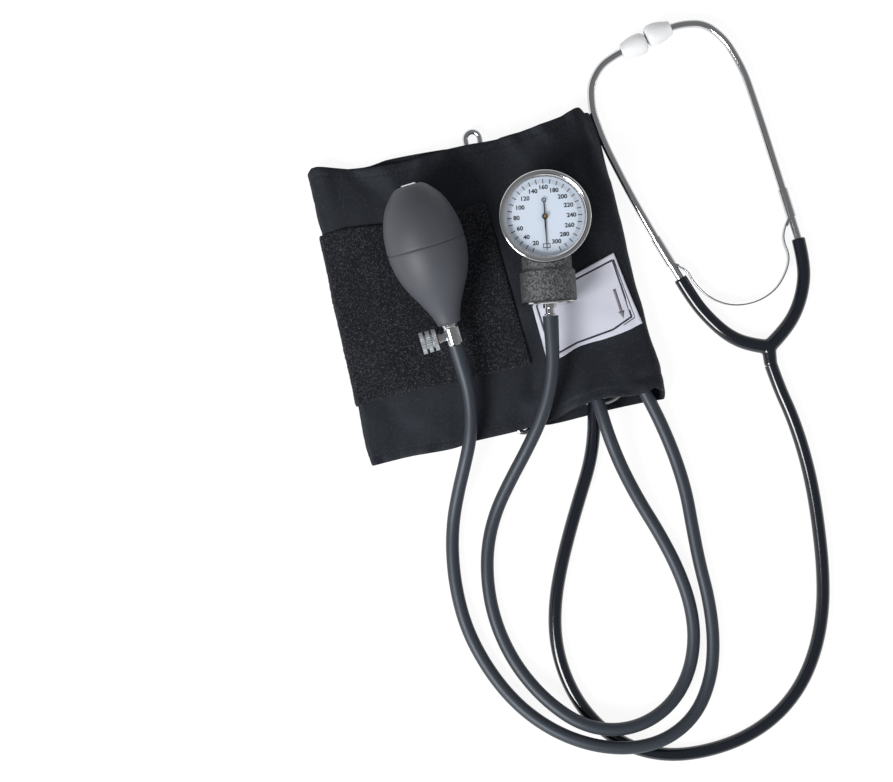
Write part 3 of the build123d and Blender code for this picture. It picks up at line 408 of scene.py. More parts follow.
# Rows of (y, x): how far the left fold and the right fold reach, and how far the right
# fold's upper half leans back from its lower half
LEFT_FOLD = [(-80.4, -77.4), (-68.0, -78.4), (-48.0, -77.4), (46.0, -76.0), (77.0, -75.8)]
RIGHT_FOLD = [(-79.5, 81.3), (-70.0, 81.4), (-60.0, 81.1), (-47.0, 80.3), (-30.0, 80.2), (-14.0, 79.2),
              (6.0, 79.0), (26.0, 78.9), (52.0, 78.7), (66.0, 78.1), (76.5, 76.2)]
LEAN = [(-20.0, 0.0), (6.0, 0.4), (30.0, 0.9), (45.0, 2.1), (54.0, 3.2), (60.0, 3.6), (66.0, 5.6),
        (76.5, 5.4)]
NOTCH = 1.3

# Rows of (x, y): the edges of the upper layer and of the layers under it
TOP_HIGH = [(-76.0, 77.2), (-73.6, 79.6), (-69.8, 79.5), (-61.0, 77.0), (-51.0, 74.2), (-30.0, 71.9),
            (-13.7, 72.4), (4.0, 73.2), (25.0, 72.1), (42.5, 73.6), (59.7, 76.0), (64.9, 77.7),
            (70.1, 78.6), (72.0, 75.4)]
TOP_LOW = [(-77.4, -80.4), (-57.0, -80.0), (-34.0, -81.0), (-22.0, -79.7), (0.8, -79.6), (10.1, -79.0),
           (17.0, -78.9), (24.0, -77.5), (32.0, -74.8), (39.7, -73.5), (47.4, -72.5), (56.9, -73.7),
           (66.5, -74.9), (72.1, -74.5), (75.5, -73.1), (78.0, -74.6), (80.5, -76.0)]
UNDER_HIGH = [(-76.0, 76.6), (-60.0, 75.8), (-44.8, 74.1), (-33.0, 75.2), (-2.5, 73.6), (5.0, 72.2),
              (13.3, 71.2), (20.0, 71.4), (29.0, 73.8), (50.0, 74.3), (76.4, 73.3)]
UNDER_LOW = [(-77.4, -80.2), (-40.0, -79.6), (-6.0, -79.3), (-1.5, -77.4), (11.5, -77.4), (16.0, -79.8),
             (22.5, -80.4), (35.4, -80.2), (49.5, -79.8), (67.6, -80.0), (75.0, -80.4), (80.0, -80.6)]

# Soft folds of the upper layer: from one place to another, half width and height
CREASES = [
    (47.5, 75.0, 57.7, 60.8, 3.0, 0.9), (31.3, 71.0, 38.9, 56.1, 3.2, 0.6),
    (63.0, 72.0, 54.0, 54.0, 3.6, -0.6), (-54.5, 76.0, -43.4, 58.0, 5.0, -1.0),
    (-15.6, 73.0, -21.3, 61.0, 2.6, 0.6), (-69.0, 78.0, -67.0, 42.0, 4.5, 0.6),
    (-36.0, 72.0, -30.0, 50.0, 5.0, 0.5), (4.0, 74.0, 10.0, 52.0, 4.0, -0.5),
    (33.8, -73.0, 45.9, -58.0, 3.0, 0.9), (42.7, -71.0, 52.0, -58.0, 3.2, -0.6),
    (56.0, -74.0, 68.0, -52.0, 4.0, 0.6), (69.4, -67.7, 80.5, -66.0, 2.2, -1.0),
    (71.0, -72.0, 76.0, -58.0, 3.0, 0.6), (-70.0, -79.0, -34.0, -58.0, 7.0, -0.6),
    (-20.0, -80.0, 8.0, -58.0, 6.0, 0.6), (-48.0, -80.0, -40.0, -60.0, 4.0, 0.5),
    (14.0, -60.0, 27.0, -20.0, 4.0, -0.6), (60.0, 50.0, 70.0, 18.0, 3.0, 0.5),
]


def ease(low, high, value):
    """0 below low, 1 above high, and a smooth step between them."""
    t = min(1.0, max(0.0, (value - low) / (high - low)))
    return t * t * (3 - 2 * t)


def between(rows, at):
    """The value at one place in rows of (place, value), on a smooth curve through them."""
    last = len(rows) - 1
    i = min(max(bisect.bisect([row[0] for row in rows], at) - 1, 0), last - 1)
    (a, start), (b, end) = rows[i], rows[i + 1]
    before, after = rows[max(i - 1, 0)], rows[min(i + 2, last)]
    slope_a = (end - before[1]) / (b - before[0])
    slope_b = (after[1] - start) / (after[0] - a)
    t = min(1.0, max(0.0, (at - a) / (b - a)))
    run = b - a
    return ((2 * t**3 - 3 * t**2 + 1) * start + (t**3 - 2 * t**2 + t) * run * slope_a
            + (3 * t**2 - 2 * t**3) * end + (t**3 - t**2) * run * slope_b)


def turn(centre, reach, angles):
    """Corners on part of a circle, at the angles in degrees."""
    return [(centre[0] + reach * math.cos(math.radians(a)), centre[1] + reach * math.sin(math.radians(a)))
            for a in angles]


def right_turn(y, fold):
    """Corners round the right fold, from the table up: a squarish turn whose top leans back."""
    reach = between(RIGHT_FOLD, y)
    lean = between(LEAN, y)
    middle, tall = fold / 2, fold / 2 - TABLE_PLY
    wide = middle - TABLE_PLY + 0.1
    corners = []
    for a in range(-90, 91, 15):
        side, rise = math.cos(math.radians(a)), math.sin(math.radians(a))
        out = wide * max(side, 0.0) ** (2 / FOLD_SQUARENESS)
        up = math.copysign(abs(rise) ** (2 / FOLD_SQUARENESS), rise)
        notch = NOTCH * ease(0.5, 2.0, lean) * math.exp(-(((a - 8) / 16) ** 2))
        corners.append((reach - middle + out - lean * ease(-0.1, 0.7, rise) - notch, middle + tall * up))
    return corners


def strip_line(y):
    """Corners (x, z) of the middle of the cloth at one place across the cuff, end to end."""
    share = (y - CUFF_LOW) / CUFF_WIDTH
    lift = max(0.0, (CUFF_MOUTH - y) / (CUFF_MOUTH - CUFF_LOW))
    left = between(LEFT_FOLD, y)
    ring = 5.1 + 7.7 * share
    bar_r, bar_l = ring + RING_BAR, ring - RING_BAR
    crown = 11.8 + 5.0 * lift
    fold = 12.6 + 2.8 * lift
    corners = [(bar_r + 11.5, 2.45), (bar_r + 7.5, 2.7), (bar_r + 4.2, 4.4)]
    corners += [(x, max(z, TABLE_PLY)) for x, z in turn((bar_r, RING_LEVEL), LOOP_REACH, range(60, 271, 30))]
    corners += [(bar_r + 8, TABLE_PLY), (bar_r + 34, TABLE_PLY), (66.0, TABLE_PLY)]
    corners += right_turn(y, fold)
    corners += [(66.0, (fold + crown) / 2 - 0.55), (60.0, (fold + crown) / 2 - 0.35), (54.0, crown),
                (48.0, crown), (41.0, crown - 0.25), (34.5, crown * 0.5 + 5.05), (28.0, 10.3 + lift),
                (22.0, 9.8 + lift * 0.3), (8.0, 8.9), (-8.0, 7.9), (-24.0, 6.9), (-45.0, 6.25),
                (-62.0, 5.98)]
    corners += turn((left + 0.85, 4.97), 0.97, range(90, 271, 30))
    corners += [(-58.0, 4.0), (-42.0, 4.05), (-25.0, 4.8), (-10.0, 5.6)]
    corners += [(x, max(z, TABLE_PLY)) for x, z in turn((bar_l, RING_LEVEL), LOOP_REACH, range(90, -91, -30))]
    corners += [(-12.0, TABLE_PLY), (-35.0, TABLE_PLY), (-58.0, TABLE_PLY)]
    return corners


def resampled(corners, count):
    """Points evenly spaced along a line of corners, and the line's length."""
    runs = [math.dist(a, b) for a, b in zip(corners, corners[1:])]
    total = sum(runs)
    points, at, done = [], 0, 0.0
    for i in range(count + 1):
        want = total * i / count
        while at < len(runs) - 1 and done + runs[at] < want:
            done += runs[at]
            at += 1
        t = (want - done) / runs[at]
        a, b = corners[at], corners[at + 1]
        points.append((a[0] + (b[0] - a[0]) * t, a[1] + (b[1] - a[1]) * t))
    return points, total


STEPS = 640
SOFTENING = 7
RIPPLE_OF_CREASE, DEEPEST_DIP = 2.3, -0.7
HEM_SEAM = 4.6
lines = {}


def line_at(y):
    """The smoothed middle line of the strip at one place across, and where its folds are."""
    key = round(y * 2)
    if key not in lines:
        points, total = resampled(strip_line(key / 2), STEPS)
        for _ in range(SOFTENING):
            inner = [((a[0] + 2 * b[0] + c[0]) / 4, (a[1] + 2 * b[1] + c[1]) / 4)
                     for a, b, c in zip(points, points[1:], points[2:])]
            points = [points[0], *inner, points[-1]]
        places = [x for x, _ in points]
        lines[key] = points, total, places.index(max(places)), places.index(min(places))
    return lines[key]


STRIP_LENGTH = line_at(0.0)[1]
FOLD_BLEND = 6


def part_of_top(share, across):
    """How far a place of the strip belongs to the upper layer, 0 to 1."""
    _, _, right, left = line_at(across)
    at = share * STEPS
    past_right = ease(right - FOLD_BLEND, right + FOLD_BLEND, at)
    return past_right * (1 - ease(left - FOLD_BLEND, left + FOLD_BLEND, at))


def edges_at(x, top):
    """The two edges' y at one x, for the upper layer (1), the others (0) or between."""
    high = between(TOP_HIGH, x) * top + between(UNDER_HIGH, x) * (1 - top)
    low = between(TOP_LOW, x) * top + between(UNDER_LOW, x) * (1 - top)
    return low, high


def crease_height(x, y):
    """The height of the soft folds at one place."""
    height = 0.0
    for x0, y0, x1, y1, width, rise in CREASES:
        along = Vector((x1 - x0, y1 - y0))
        offset = Vector((x - x0, y - y0))
        t = min(1.0, max(0.0, offset.dot(along) / along.length_squared))
        away = (offset - along * t).length
        if away < 3 * width:
            height += rise * math.exp(-((away / width) ** 2)) * (1 - 0.8 * t)
    return height


def cloth_place(share, across, lift=0.0):
    """Where a point of the flat strip lies: share along it, y across it, lift off its middle."""
    place = share * STEPS
    i = min(int(place), STEPS - 1)
    points = line_at(across)[0]
    x = points[i][0] + (points[i + 1][0] - points[i][0]) * (place - i)
    z = points[i][1] + (points[i + 1][1] - points[i][1]) * (place - i)
    ahead, behind = points[min(i + 2, STEPS)], points[max(i - 1, 0)]
    run = Vector((ahead[0] - behind[0], ahead[1] - behind[1])).normalized()
    out = Vector((run.y, -run.x))
    top = part_of_top(share, across)
    low, high = edges_at(x, top)
    y = low + (high - low) * (across - CUFF_LOW) / CUFF_WIDTH
    rough = noise.noise(Vector((x * 0.03, y * 0.03, 5.0 + 3 * share)))
    fine = noise.noise(Vector((x * 0.09, y * 0.07, 9.0)))
    pucker = noise.noise(Vector((x * 0.22, y * 0.05, 2.0))) * math.exp(-min(high - y, y - low) / 5.0)
    ripple = crease_height(x, y) * RIPPLE_OF_CREASE + 1.2 * rough + 0.5 * fine + 0.5 * pucker
    if x > 18.0:
        ripple = max(ripple, DEEPEST_DIP)
    away = top * ripple + lift
    return Vector((x + out.x * away, y, z + out.y * away)) * MM


def thickness_at(share, across):
    """The cloth's thickness: padded at the bladder, doubled at the hem, drawn in at its seam."""
    x = line_at(across)[0][round(share * STEPS)][0]
    edge = min(across - CUFF_LOW, CUFF_HIGH - across)
    thick = ONE_PLY + 0.2 * (1 - ease(5.0, 7.0, edge))
    thick -= 0.25 * math.exp(-(((edge - HEM_SEAM) / 0.5) ** 2)) + 0.6 * (1 - ease(0.0, 0.8, edge))
    padding = ease(22.0, 30.0, x) * (1 - ease(70.0, 74.0, x)) * ease(3.0, 6.4, edge)
    return thick + (PADDED - ONE_PLY) * padding * part_of_top(share, across)


def share_at(x, across, side=1):
    """Where along the strip x is passed, on the upper layer (1) or on the return under it (-1)."""
    points, _, right, left = line_at(across)
    low, high = (right, left) if side > 0 else (left, STEPS * 0.82)
    for _ in range(24):
        middle = (low + high) / 2
        i = min(int(middle), STEPS - 1)
        here = points[i][0] + (points[i + 1][0] - points[i][0]) * (middle - i)
        if (here - x) * side > 0:
            low = middle
        else:
            high = middle
    return low / STEPS


def across_at(x, y, top=1.0):
    """Which place across the flat strip lies at y."""
    low, high = edges_at(x, top)
    return CUFF_LOW + CUFF_WIDTH * (y - low) / (high - low)


def on_top(x, y, above=0.0):
    """A place on the upper layer's outer face, or above it."""
    across = across_at(x, y)
    share = share_at(x, across)
    return cloth_place(share, across, thickness_at(share, across) / 2 + above)


def laid_grid(name, across_rows, columns, place, weight=None):
    """A flat grid of cloth, each point moved to where it lies, with the flat cut as its UV map."""
    shape = bmesh.new()
    bmesh.ops.create_grid(shape, x_segments=len(columns) - 1, y_segments=len(across_rows) - 1, size=1.0)
    flat = shape.loops.layers.uv.new("flat")
    deform = shape.verts.layers.deform.new() if weight else None
    spots = {}
    for vert in shape.verts:
        column = columns[round((vert.co.x + 1) / 2 * (len(columns) - 1))]
        row = across_rows[round((vert.co.y + 1) / 2 * (len(across_rows) - 1))]
        spots[vert] = (column, row)
    for vert, (share, across) in spots.items():
        vert.co = place(share, across)
        if weight:
            vert[deform][0] = weight(share, across) / PADDED
    for face in shape.faces:
        for loop in face.loops:
            share, across = spots[loop.vert]
            loop[flat].uv = (share * STRIP_LENGTH * MM, across * MM)
    return mesh_from(name, shape)


def evenly(count):
    """Shares from 0 to 1 in even steps."""
    return [i / count for i in range(count + 1)]


def cloth_columns(stride, bend):
    """Places along the strip: closer where it turns, at most stride mm or bend radians apart."""
    watched = [line_at(y)[0] for y in (CUFF_LOW, CUFF_MOUTH, 0.0, CUFF_HIGH)]
    columns, spent = [0.0], 0.0
    for i in range(1, STEPS):
        turned = 0.0
        for points in watched:
            before = Vector(points[i]) - Vector(points[i - 1])
            after = Vector(points[i + 1]) - Vector(points[i])
            turned = max(turned, before.angle(after, 0.0))
        spent += max(STRIP_LENGTH / STEPS / stride, turned / bend)
        if spent >= 1.0:
            columns.append(i / STEPS)
            spent = 0.0
    return columns + [1.0]


def rows_between(low, high, step, fine):
    """Even rows with finer ones at both ends."""
    inner_low, inner_high = low + fine[-1] + step * 0.7, high - fine[-1] - step * 0.7
    count = round((inner_high - inner_low) / step)
    middle = [inner_low + (inner_high - inner_low) * i / count for i in range(count + 1)]
    return [low + f for f in fine] + middle + [high - f for f in reversed(fine)]


def weave(m, u, v, pitch):
    """The height of a plain weave whose threads lie pitch apart along the flat cloth."""
    turn = 2 * math.pi / pitch
    over = (u * turn).sine() * (v * turn).sine()
    rib = (u * turn * 2).sine() * 0.25 + (v * turn * 2).sine() * 0.25
    return over * 0.5 + rib + 0.5


def nylon_cloth():
    m = Material("nylon_cloth")
    u, v, _ = m.axes(m.node("UVMap", {"uv_map": "flat"}))
    threads = weave(m, u, v, 0.0007)
    fleck = m.noise(900.0, 3.0)
    cloud = m.noise(16.0, 3.0)
    colour = m.mix(cloud, (0.0042, 0.0048, 0.0072, 1), (0.0080, 0.0090, 0.0122, 1))
    colour = m.mix((fleck > 0.60) * 0.5, colour, (0.020, 0.023, 0.030, 1))
    height = threads * 0.6 + fleck * 0.5
    return m.done(Base_Color=colour, Roughness=cloud * 0.12 + 0.50, Normal=m.bump(height, 0.00009),
                  Sheen_Weight=0.05, Sheen_Roughness=0.45, Sheen_Tint=(0.75, 0.8, 0.95, 1),
                  Specular_IOR_Level=0.30, Specular_Tint=(0.80, 0.88, 1.0, 1))


cloth_material = nylon_cloth()
HEM = (0.0, 0.3, 0.8, 1.8, 3.0, 3.8, 4.3, HEM_SEAM, 4.9, 5.4, 6.2)
cuff_mesh = laid_grid("cuff_cloth", rows_between(CUFF_LOW, CUFF_HIGH, 2.4, HEM),
                      cloth_columns(2.2, 0.22), cloth_place, thickness_at)
cuff_cloth = piece("cuff_cloth", cuff_mesh, cloth_material)
cuff_cloth.vertex_groups.new(name="thick")
wall = cuff_cloth.modifiers.new("wall", "SOLIDIFY")
wall.thickness, wall.offset = PADDED * MM, 0.0
wall.vertex_group, wall.thickness_vertex_group = "thick", 0.0
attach(cuff_cloth, ROOT)
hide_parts("cuff_sleeve", "cuff_tail")
round(STRIP_LENGTH * MM, 3)


# Closing surface: black loop pile, sewn on the upper layer and round the left fold
# to the underside. It is a knitted tape with a brushed, tufted face.

PILE_RIGHT = [(-46.4, 15.9), (40.0, 11.8)]
PILE_RETURN = -42.0
PILE_HIGH = [(-76.0, 43.6), (-66.0, 44.3), (-55.0, 43.6), (-45.0, 42.4), (-6.0, 40.4), (9.0, 40.9),
             (16.0, 41.2)]
PILE_LOW = [(-77.0, -47.9), (-63.0, -46.2), (-30.0, -46.8), (16.0, -46.5)]
PILE_ROWS, PILE_COLUMNS = 112, 190
PILE_WIDTH = 88.0
PILE_SHARE = share_at(PILE_RETURN, 0.0, -1) - share_at(between(PILE_RIGHT, 0.0), 0.0)
PILE_LENGTH = PILE_SHARE * STRIP_LENGTH
PILE_SEEN = 0.70


def loop_pile():
    m = Material("loop_pile")
    tuft = m.noise(850.0, 4.0)
    speck = m.noise(1500.0, 2.0)
    cloud = m.noise(60.0, 3.0)
    colour = m.mix(cloud, (0.0030, 0.0034, 0.0050, 1), (0.0085, 0.0095, 0.0130, 1))
    colour = m.mix((tuft > 0.54) * 0.55, colour, (0.026, 0.028, 0.036, 1))
    colour = m.mix((speck > 0.64) * 0.8, colour, (0.085, 0.088, 0.100, 1))
    return m.done(Base_Color=colour, Roughness=0.9, Normal=m.bump(tuft + speck * 0.5, 0.0009),
                  Sheen_Weight=0.05, Sheen_Roughness=0.6, Specular_IOR_Level=0.12)


def pile_spot(along, row):
    """Share and across of a place on the pile: from its right end to its end beneath, low to high."""
    across = CUFF_LOW + CUFF_WIDTH * (0.21 + 0.57 * row)
    for _ in range(2):
        start = share_at(between(PILE_RIGHT, across), across)
        end = share_at(PILE_RETURN, across, -1)
        share = start + (end - start) * along
        x = line_at(across)[0][round(share * STEPS)][0]
        y = between(PILE_LOW, x) * (1 - row) + between(PILE_HIGH, x) * row
        across = across_at(x, y, part_of_top(share, across))
    return share, across


def pile_place(along, row):
    """The pile's upper surface, tufted and rolled down at its edges."""
    share, across = pile_spot(along, row)
    edge = min(along * PILE_LENGTH, (1 - along) * PILE_LENGTH, row * PILE_WIDTH, (1 - row) * PILE_WIDTH)
    rise = 0.95 + 0.55 * ease(0.0, 1.8, edge)
    base = cloth_place(share, across)
    tuft = noise.noise(Vector(base) * 900.0) * 0.22 + noise.noise(Vector(base) * 2300.0) * 0.12
    return cloth_place(share, across, rise + tuft * ease(0.0, 1.5, edge))


pile_mesh = laid_grid("pile_cloth", evenly(PILE_ROWS), evenly(PILE_COLUMNS), pile_place)
pile = piece("pile_cloth", pile_mesh, loop_pile())
body = pile.modifiers.new("body", "SOLIDIFY")
body.thickness, body.offset = 0.9 * MM, -1.0
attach(pile, ROOT)
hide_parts("pile_patch")
round(PILE_LENGTH * MM, 3)


# Stitching: polyester thread, a grey overlock along the pile's edges and black rows
# along the hems. Each stitch is a small rounded bead of thread.

OVERLOCK_PITCH, HEM_PITCH = 1.3, 2.6
OVERLOCK_WIDTH, HEM_THREAD = 0.60 * MM, 0.45 * MM
THREAD_LIFT = 0.02


def thread(name, level):
    m = Material(name)
    return m.done(Base_Color=m.mix(m.noise(700.0), grey(level * 0.7), grey(level)), Roughness=0.6)


def stitched(name, ends, width, material):
    """A bead of thread between each pair of places."""
    shape = bmesh.new()
    for start, end in ends:
        run = end - start
        turned = run.to_track_quat("X", "Z").to_matrix().to_4x4()
        size = Matrix.Diagonal((run.length / 2, width / 2, width * 0.4, 1.0))
        bmesh.ops.create_icosphere(shape, subdivisions=1, radius=1.0,
                                   matrix=Matrix.Translation((start + end) / 2) @ turned @ size)
    made = piece(name, mesh_from(name, shape), material)
    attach(made, ROOT)


def pile_stitches():
    """Slanted beads over the pile's two long edges and its right end."""
    beads = []
    for row, inward in ((0.0, 0.012), (1.0, -0.012)):
        count = round(PILE_SEEN * PILE_LENGTH / OVERLOCK_PITCH)
        for i in range(count):
            along = PILE_SEEN * (i + 0.5) / count
            outer = pile_spot(along, row)
            inner = pile_spot(along + 0.005, row + inward)
            beads.append((cloth_place(*outer, 1.35), cloth_place(*inner, 1.85)))
    count = round(PILE_WIDTH / OVERLOCK_PITCH)
    for i in range(count):
        row = (i + 0.5) / count
        outer = pile_spot(0.0, row)
        inner = pile_spot(0.008, row + 0.004)
        beads.append((cloth_place(*outer, 1.15), cloth_place(*inner, 1.6)))
    return beads


def hem_stitches():
    """Rows of beads along both hems of the upper layer."""
    beads = []
    for across in (CUFF_LOW + HEM_SEAM, CUFF_HIGH - HEM_SEAM):
        first, last = share_at(70.0, across), share_at(-73.0, across)
        count = round((last - first) * STRIP_LENGTH / HEM_PITCH)
        step = (last - first) / count
        for i in range(count):
            start, end = first + step * (i + 0.15), first + step * (i + 0.85)
            lift = thickness_at(start, across) / 2 + THREAD_LIFT
            beads.append((cloth_place(start, across, lift), cloth_place(end, across, lift)))
    return beads


def line_stitches(*places):
    """Beads along straight rows on the upper layer, each row from one (x, y) to another."""
    beads = []
    for x0, y0, x1, y1 in places:
        count = round(math.dist((x0, y0), (x1, y1)) / HEM_PITCH)
        for i in range(count):
            a, b = (i + 0.15) / count, (i + 0.85) / count
            beads.append((on_top(x0 + (x1 - x0) * a, y0 + (y1 - y0) * a, THREAD_LIFT),
                          on_top(x0 + (x1 - x0) * b, y0 + (y1 - y0) * b, THREAD_LIFT)))
    return beads


stitched("overlock_thread", pile_stitches(), OVERLOCK_WIDTH, thread("grey_thread", 0.16))
black_thread = thread("black_thread", 0.006)
stitched("hem_thread", hem_stitches(), HEM_THREAD, black_thread)
pocket_rows = line_stitches((25.5, -70.0, 24.0, -49.0), (24.0, 45.0, 25.5, 68.0),
                            (33.5, -54.3, 41.5, -55.1), (65.2, 41.7, 68.8, 22.6))
stitched("pocket_thread", pocket_rows, HEM_THREAD, black_thread)


# Label: white satin tape sewn over the bladder, with a plain double border and one plain
# arrow that marks where the artery lies. Its upper right edges are folded and stand up.

LABEL_MIDDLE, LABEL_TURN = (48.9, -20.0), math.radians(10.5)
LABEL_TOP = [(-24.3, 11.6), (0.0, 13.5), (25.3, 15.8)]
LABEL_BOTTOM = [(-29.0, -23.0), (-21.0, -23.4), (-11.7, -22.0), (-4.3, -22.5), (2.8, -23.6),
                (16.2, -24.4), (23.9, -23.8)]
LABEL_LEFT = [(-23.0, -29.0), (11.6, -24.3)]
LABEL_RIGHT = [(-23.8, 23.9), (15.8, 25.3)]
FOLDED_EDGE = 24.6
BORDER_INK, ARROW_INK = (0.020, 0.017, 0.030, 1), (0.100, 0.088, 0.105, 1)


def label_spot(u, v, above):
    """A place over the cuff from the label's own sizes."""
    x = LABEL_MIDDLE[0] + u * math.cos(LABEL_TURN) - v * math.sin(LABEL_TURN)
    y = LABEL_MIDDLE[1] + u * math.sin(LABEL_TURN) + v * math.cos(LABEL_TURN)
    return on_top(x, y, above)


def label_height(u, v):
    """How high the satin stands: flat, with soft waves and a lifted fold along two edges."""
    top_edge = between(LABEL_TOP, u) - v
    edge = 1 - ease(0.0, 3.2, min(top_edge, FOLDED_EDGE - u))
    wave = noise.noise(Vector((u * 0.11, v * 0.13, 3.0)))
    return 0.28 + 0.9 * edge + 0.18 * wave


def label_place(column, row):
    v_guess = -23.0 + 37.0 * row
    left, right = between(LABEL_LEFT, v_guess), between(LABEL_RIGHT, v_guess)
    u = left + (right - left) * column
    low, high = between(LABEL_BOTTOM, u), between(LABEL_TOP, u)
    v = low + (high - low) * row
    return label_spot(u, v, label_height(u, v))


def satin():
    m = Material("label_satin")
    u, v, _ = m.axes(m.node("UVMap", {"uv_map": "flat"}))
    rib = (v * (2 * math.pi / 0.0014)).sine() * 0.5 + 0.5
    tone = m.noise(45.0, 3.0)
    colour = m.mix(tone, (0.41, 0.42, 0.49, 1), (0.48, 0.49, 0.56, 1))
    return m.done(Base_Color=colour, Roughness=tone * 0.15 + 0.32, Normal=m.bump(rib, 0.00002))


label_mesh = laid_grid("label_satin", evenly(40), evenly(54), label_place)
label = piece("label_satin", label_mesh, satin())
backing = label.modifiers.new("backing", "SOLIDIFY")
backing.thickness, backing.offset = 0.22 * MM, -1.0
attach(label, ROOT)
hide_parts("cuff_label")


def printed_line(shape, points, width):
    """A printed line along points (u, v) of the label, laid on its surface."""
    for (u0, v0), (u1, v1) in zip(points, points[1:]):
        length = math.dist((u0, v0), (u1, v1))
        count = max(2, round(length / 1.2))
        side_u, side_v = (v0 - v1) / length, (u1 - u0) / length
        edges = []
        for i in range(count + 1):
            t = i / count
            u, v = u0 + (u1 - u0) * t, v0 + (v1 - v0) * t
            ends = []
            for side in (-1, 1):
                w = between(width, t) if isinstance(width, list) else width
                at_u, at_v = u + side_u * side * w / 2, v + side_v * side * w / 2
                ends.append(shape.verts.new(label_spot(at_u, at_v, label_height(at_u, at_v) + 0.03)))
            edges.append(shape.edges.new(ends))
        for a, b in zip(edges, edges[1:]):
            bmesh.ops.bridge_loops(shape, edges=[a, b])


def ink(name, colour):
    m = Material(name)
    paler = tuple(c * 1.3 for c in colour[:3]) + (1,)
    return m.done(Base_Color=m.mix(m.noise(900.0), colour, paler), Roughness=0.45)


def printed(name, shape, colour, smooth=True):
    """A piece of one ink that lies on what it is printed on."""
    made = piece(name, mesh_from(name, shape), ink(f"{name}_ink", colour), smooth)
    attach(made, ROOT)
    return made


def label_print(name, colour, lines):
    """Printed lines of one ink, each of its points and its width."""
    shape = bmesh.new()
    for points, width in lines:
        printed_line(shape, points, width)
    bmesh.ops.recalc_face_normals(shape, faces=shape.faces)
    film = printed(name, shape, colour).modifiers.new("film", "SOLIDIFY")
    film.thickness, film.offset = 0.03 * MM, 0.0


label_print("label_border", BORDER_INK, (
    ([(2.7, 11.1), (23.2, 12.6), (20.6, -18.6), (9.0, -20.9), (-10.7, -19.7), (-21.4, -20.8), (-24.2, -9.4),
      (-22.2, 9.2), (2.7, 11.1)], 1.0),
    ([(23.9, 12.7), (22.0, -19.6), (15.0, -21.0)], 0.45),
))
label_print("label_arrow", ARROW_INK, (
    ([(18.0, -1.7), (16.9, -13.9)], 1.5),
    ([(16.9, -13.7), (16.5, -17.6)], [(0.0, 3.4), (0.5, 1.7), (1.0, 0.1)]),
))


# Bulb: one dip-moulded rubber bulb with a fine mould line round its middle. Its tail
# holds the inlet valve, and its neck grips the release valve.

BULB_TAIL = Vector((-0.0259, 0.0564, 0.0329))
BULB_AIM = Vector((4.7, -73.3, -8.5)).normalized()
BULB_OUTLINE = [(0.0, 6.4), (1.6, 9.2), (9.0, 15.4), (20.0, 19.4), (31.0, 20.6), (41.0, 19.7), (51.0, 16.5),
                (60.0, 11.7), (67.0, 8.2), (72.0, 6.5), (74.0, 6.3)]
BULB_WALL, BULB_SEAM = 2.4, 32.0
SEAM_DEPTH, SEAM_HALF = 0.50, 0.28
BULB_BORE, TAIL_BORE = 4.45, 4.05


def turned(name, outline, origin, aim, steps=64):
    """A closed outline of (height, radius) in millimetres turned round an axis."""
    shape = bmesh.new()
    verts = [shape.verts.new((radius * MM, 0, height * MM)) for height, radius in outline]
    edges = [shape.edges.new(pair) for pair in zip(verts, verts[1:] + verts[:1])]
    bmesh.ops.spin(shape, geom=verts + edges, cent=(0, 0, 0), axis=(0, 0, 1), angle=2 * math.pi,
                   steps=steps, use_merge=True)
    bmesh.ops.remove_doubles(shape, verts=shape.verts, dist=1e-7)
    bmesh.ops.recalc_face_normals(shape, faces=shape.faces)
    upright = aim.to_track_quat("Z", "Y").to_matrix().to_4x4()
    bmesh.ops.transform(shape, matrix=Matrix.Translation(origin) @ upright, verts=shape.verts)
    return mesh_from(name, shape)


def bulb_outline():
    """Outside from tail to neck and inside back again."""
    heights = [0.0, 0.5, 1.0, 1.6] + [1.6 + 2.2 * i for i in range(1, 14)]
    heights += [31.2, 31.6, 31.85, 32.0, 32.15, 32.4, 32.8] + [34.4 + 2.0 * i for i in range(20)]
    outer = [(s, between(BULB_OUTLINE, s) - SEAM_DEPTH * math.exp(-(((s - BULB_SEAM) / SEAM_HALF) ** 2)))
             for s in heights]
    inner = [(s, max(between(BULB_OUTLINE, s) - BULB_WALL, BULB_BORE)) for s in range(62, 4, -3)]
    ends = [(5.0, TAIL_BORE), (0.0, TAIL_BORE), (0.0, 6.0)]
    return outer + [(74.0, 6.0), (74.0, BULB_BORE)] + inner + ends


def bulb_rubber():
    m = Material("bulb_rubber")
    cloud = m.noise(30.0, 3.0)
    speck = m.noise(1400.0, 2.0)
    colour = m.mix(cloud, (0.041, 0.044, 0.053, 1), (0.052, 0.056, 0.067, 1))
    colour = m.mix((speck > 0.70) * 0.6, colour, (0.10, 0.10, 0.11, 1))
    return m.done(Base_Color=colour, Roughness=cloud * 0.08 + 0.50, Specular_IOR_Level=0.4,
                  Normal=m.bump(m.noise(1800.0, 2.0), 0.00003))


bulb = piece("bulb_skin", turned("bulb_skin", bulb_outline(), BULB_TAIL, BULB_AIM, 96), bulb_rubber())
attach(bulb, ROOT)
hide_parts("bulb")


# Dial printing: the scale's strokes every 2 and 10, plain numbers every 20 and the box
# at zero, all printed on the enamelled dial.

DIAL_TURN = math.radians(-9.0)
DIAL_PLACE = Matrix.Translation((0.0383, 0.0248, 0.0403)) @ Matrix.Rotation(DIAL_TURN, 4, "Z")
DIAL_TOP = -1.6
DEGREES_PER_UNIT = 1.1287
PRINT, DIAL_INK, PALE_INK = 0.03, (0.012, 0.014, 0.020, 1), (0.46, 0.50, 0.55, 1)
STROKES_AT, BOX_AT, NUMBERS_END = 18.0, 14.9, 16.0
BOX_WIDE, BOX_LINE = 3.8, 0.34


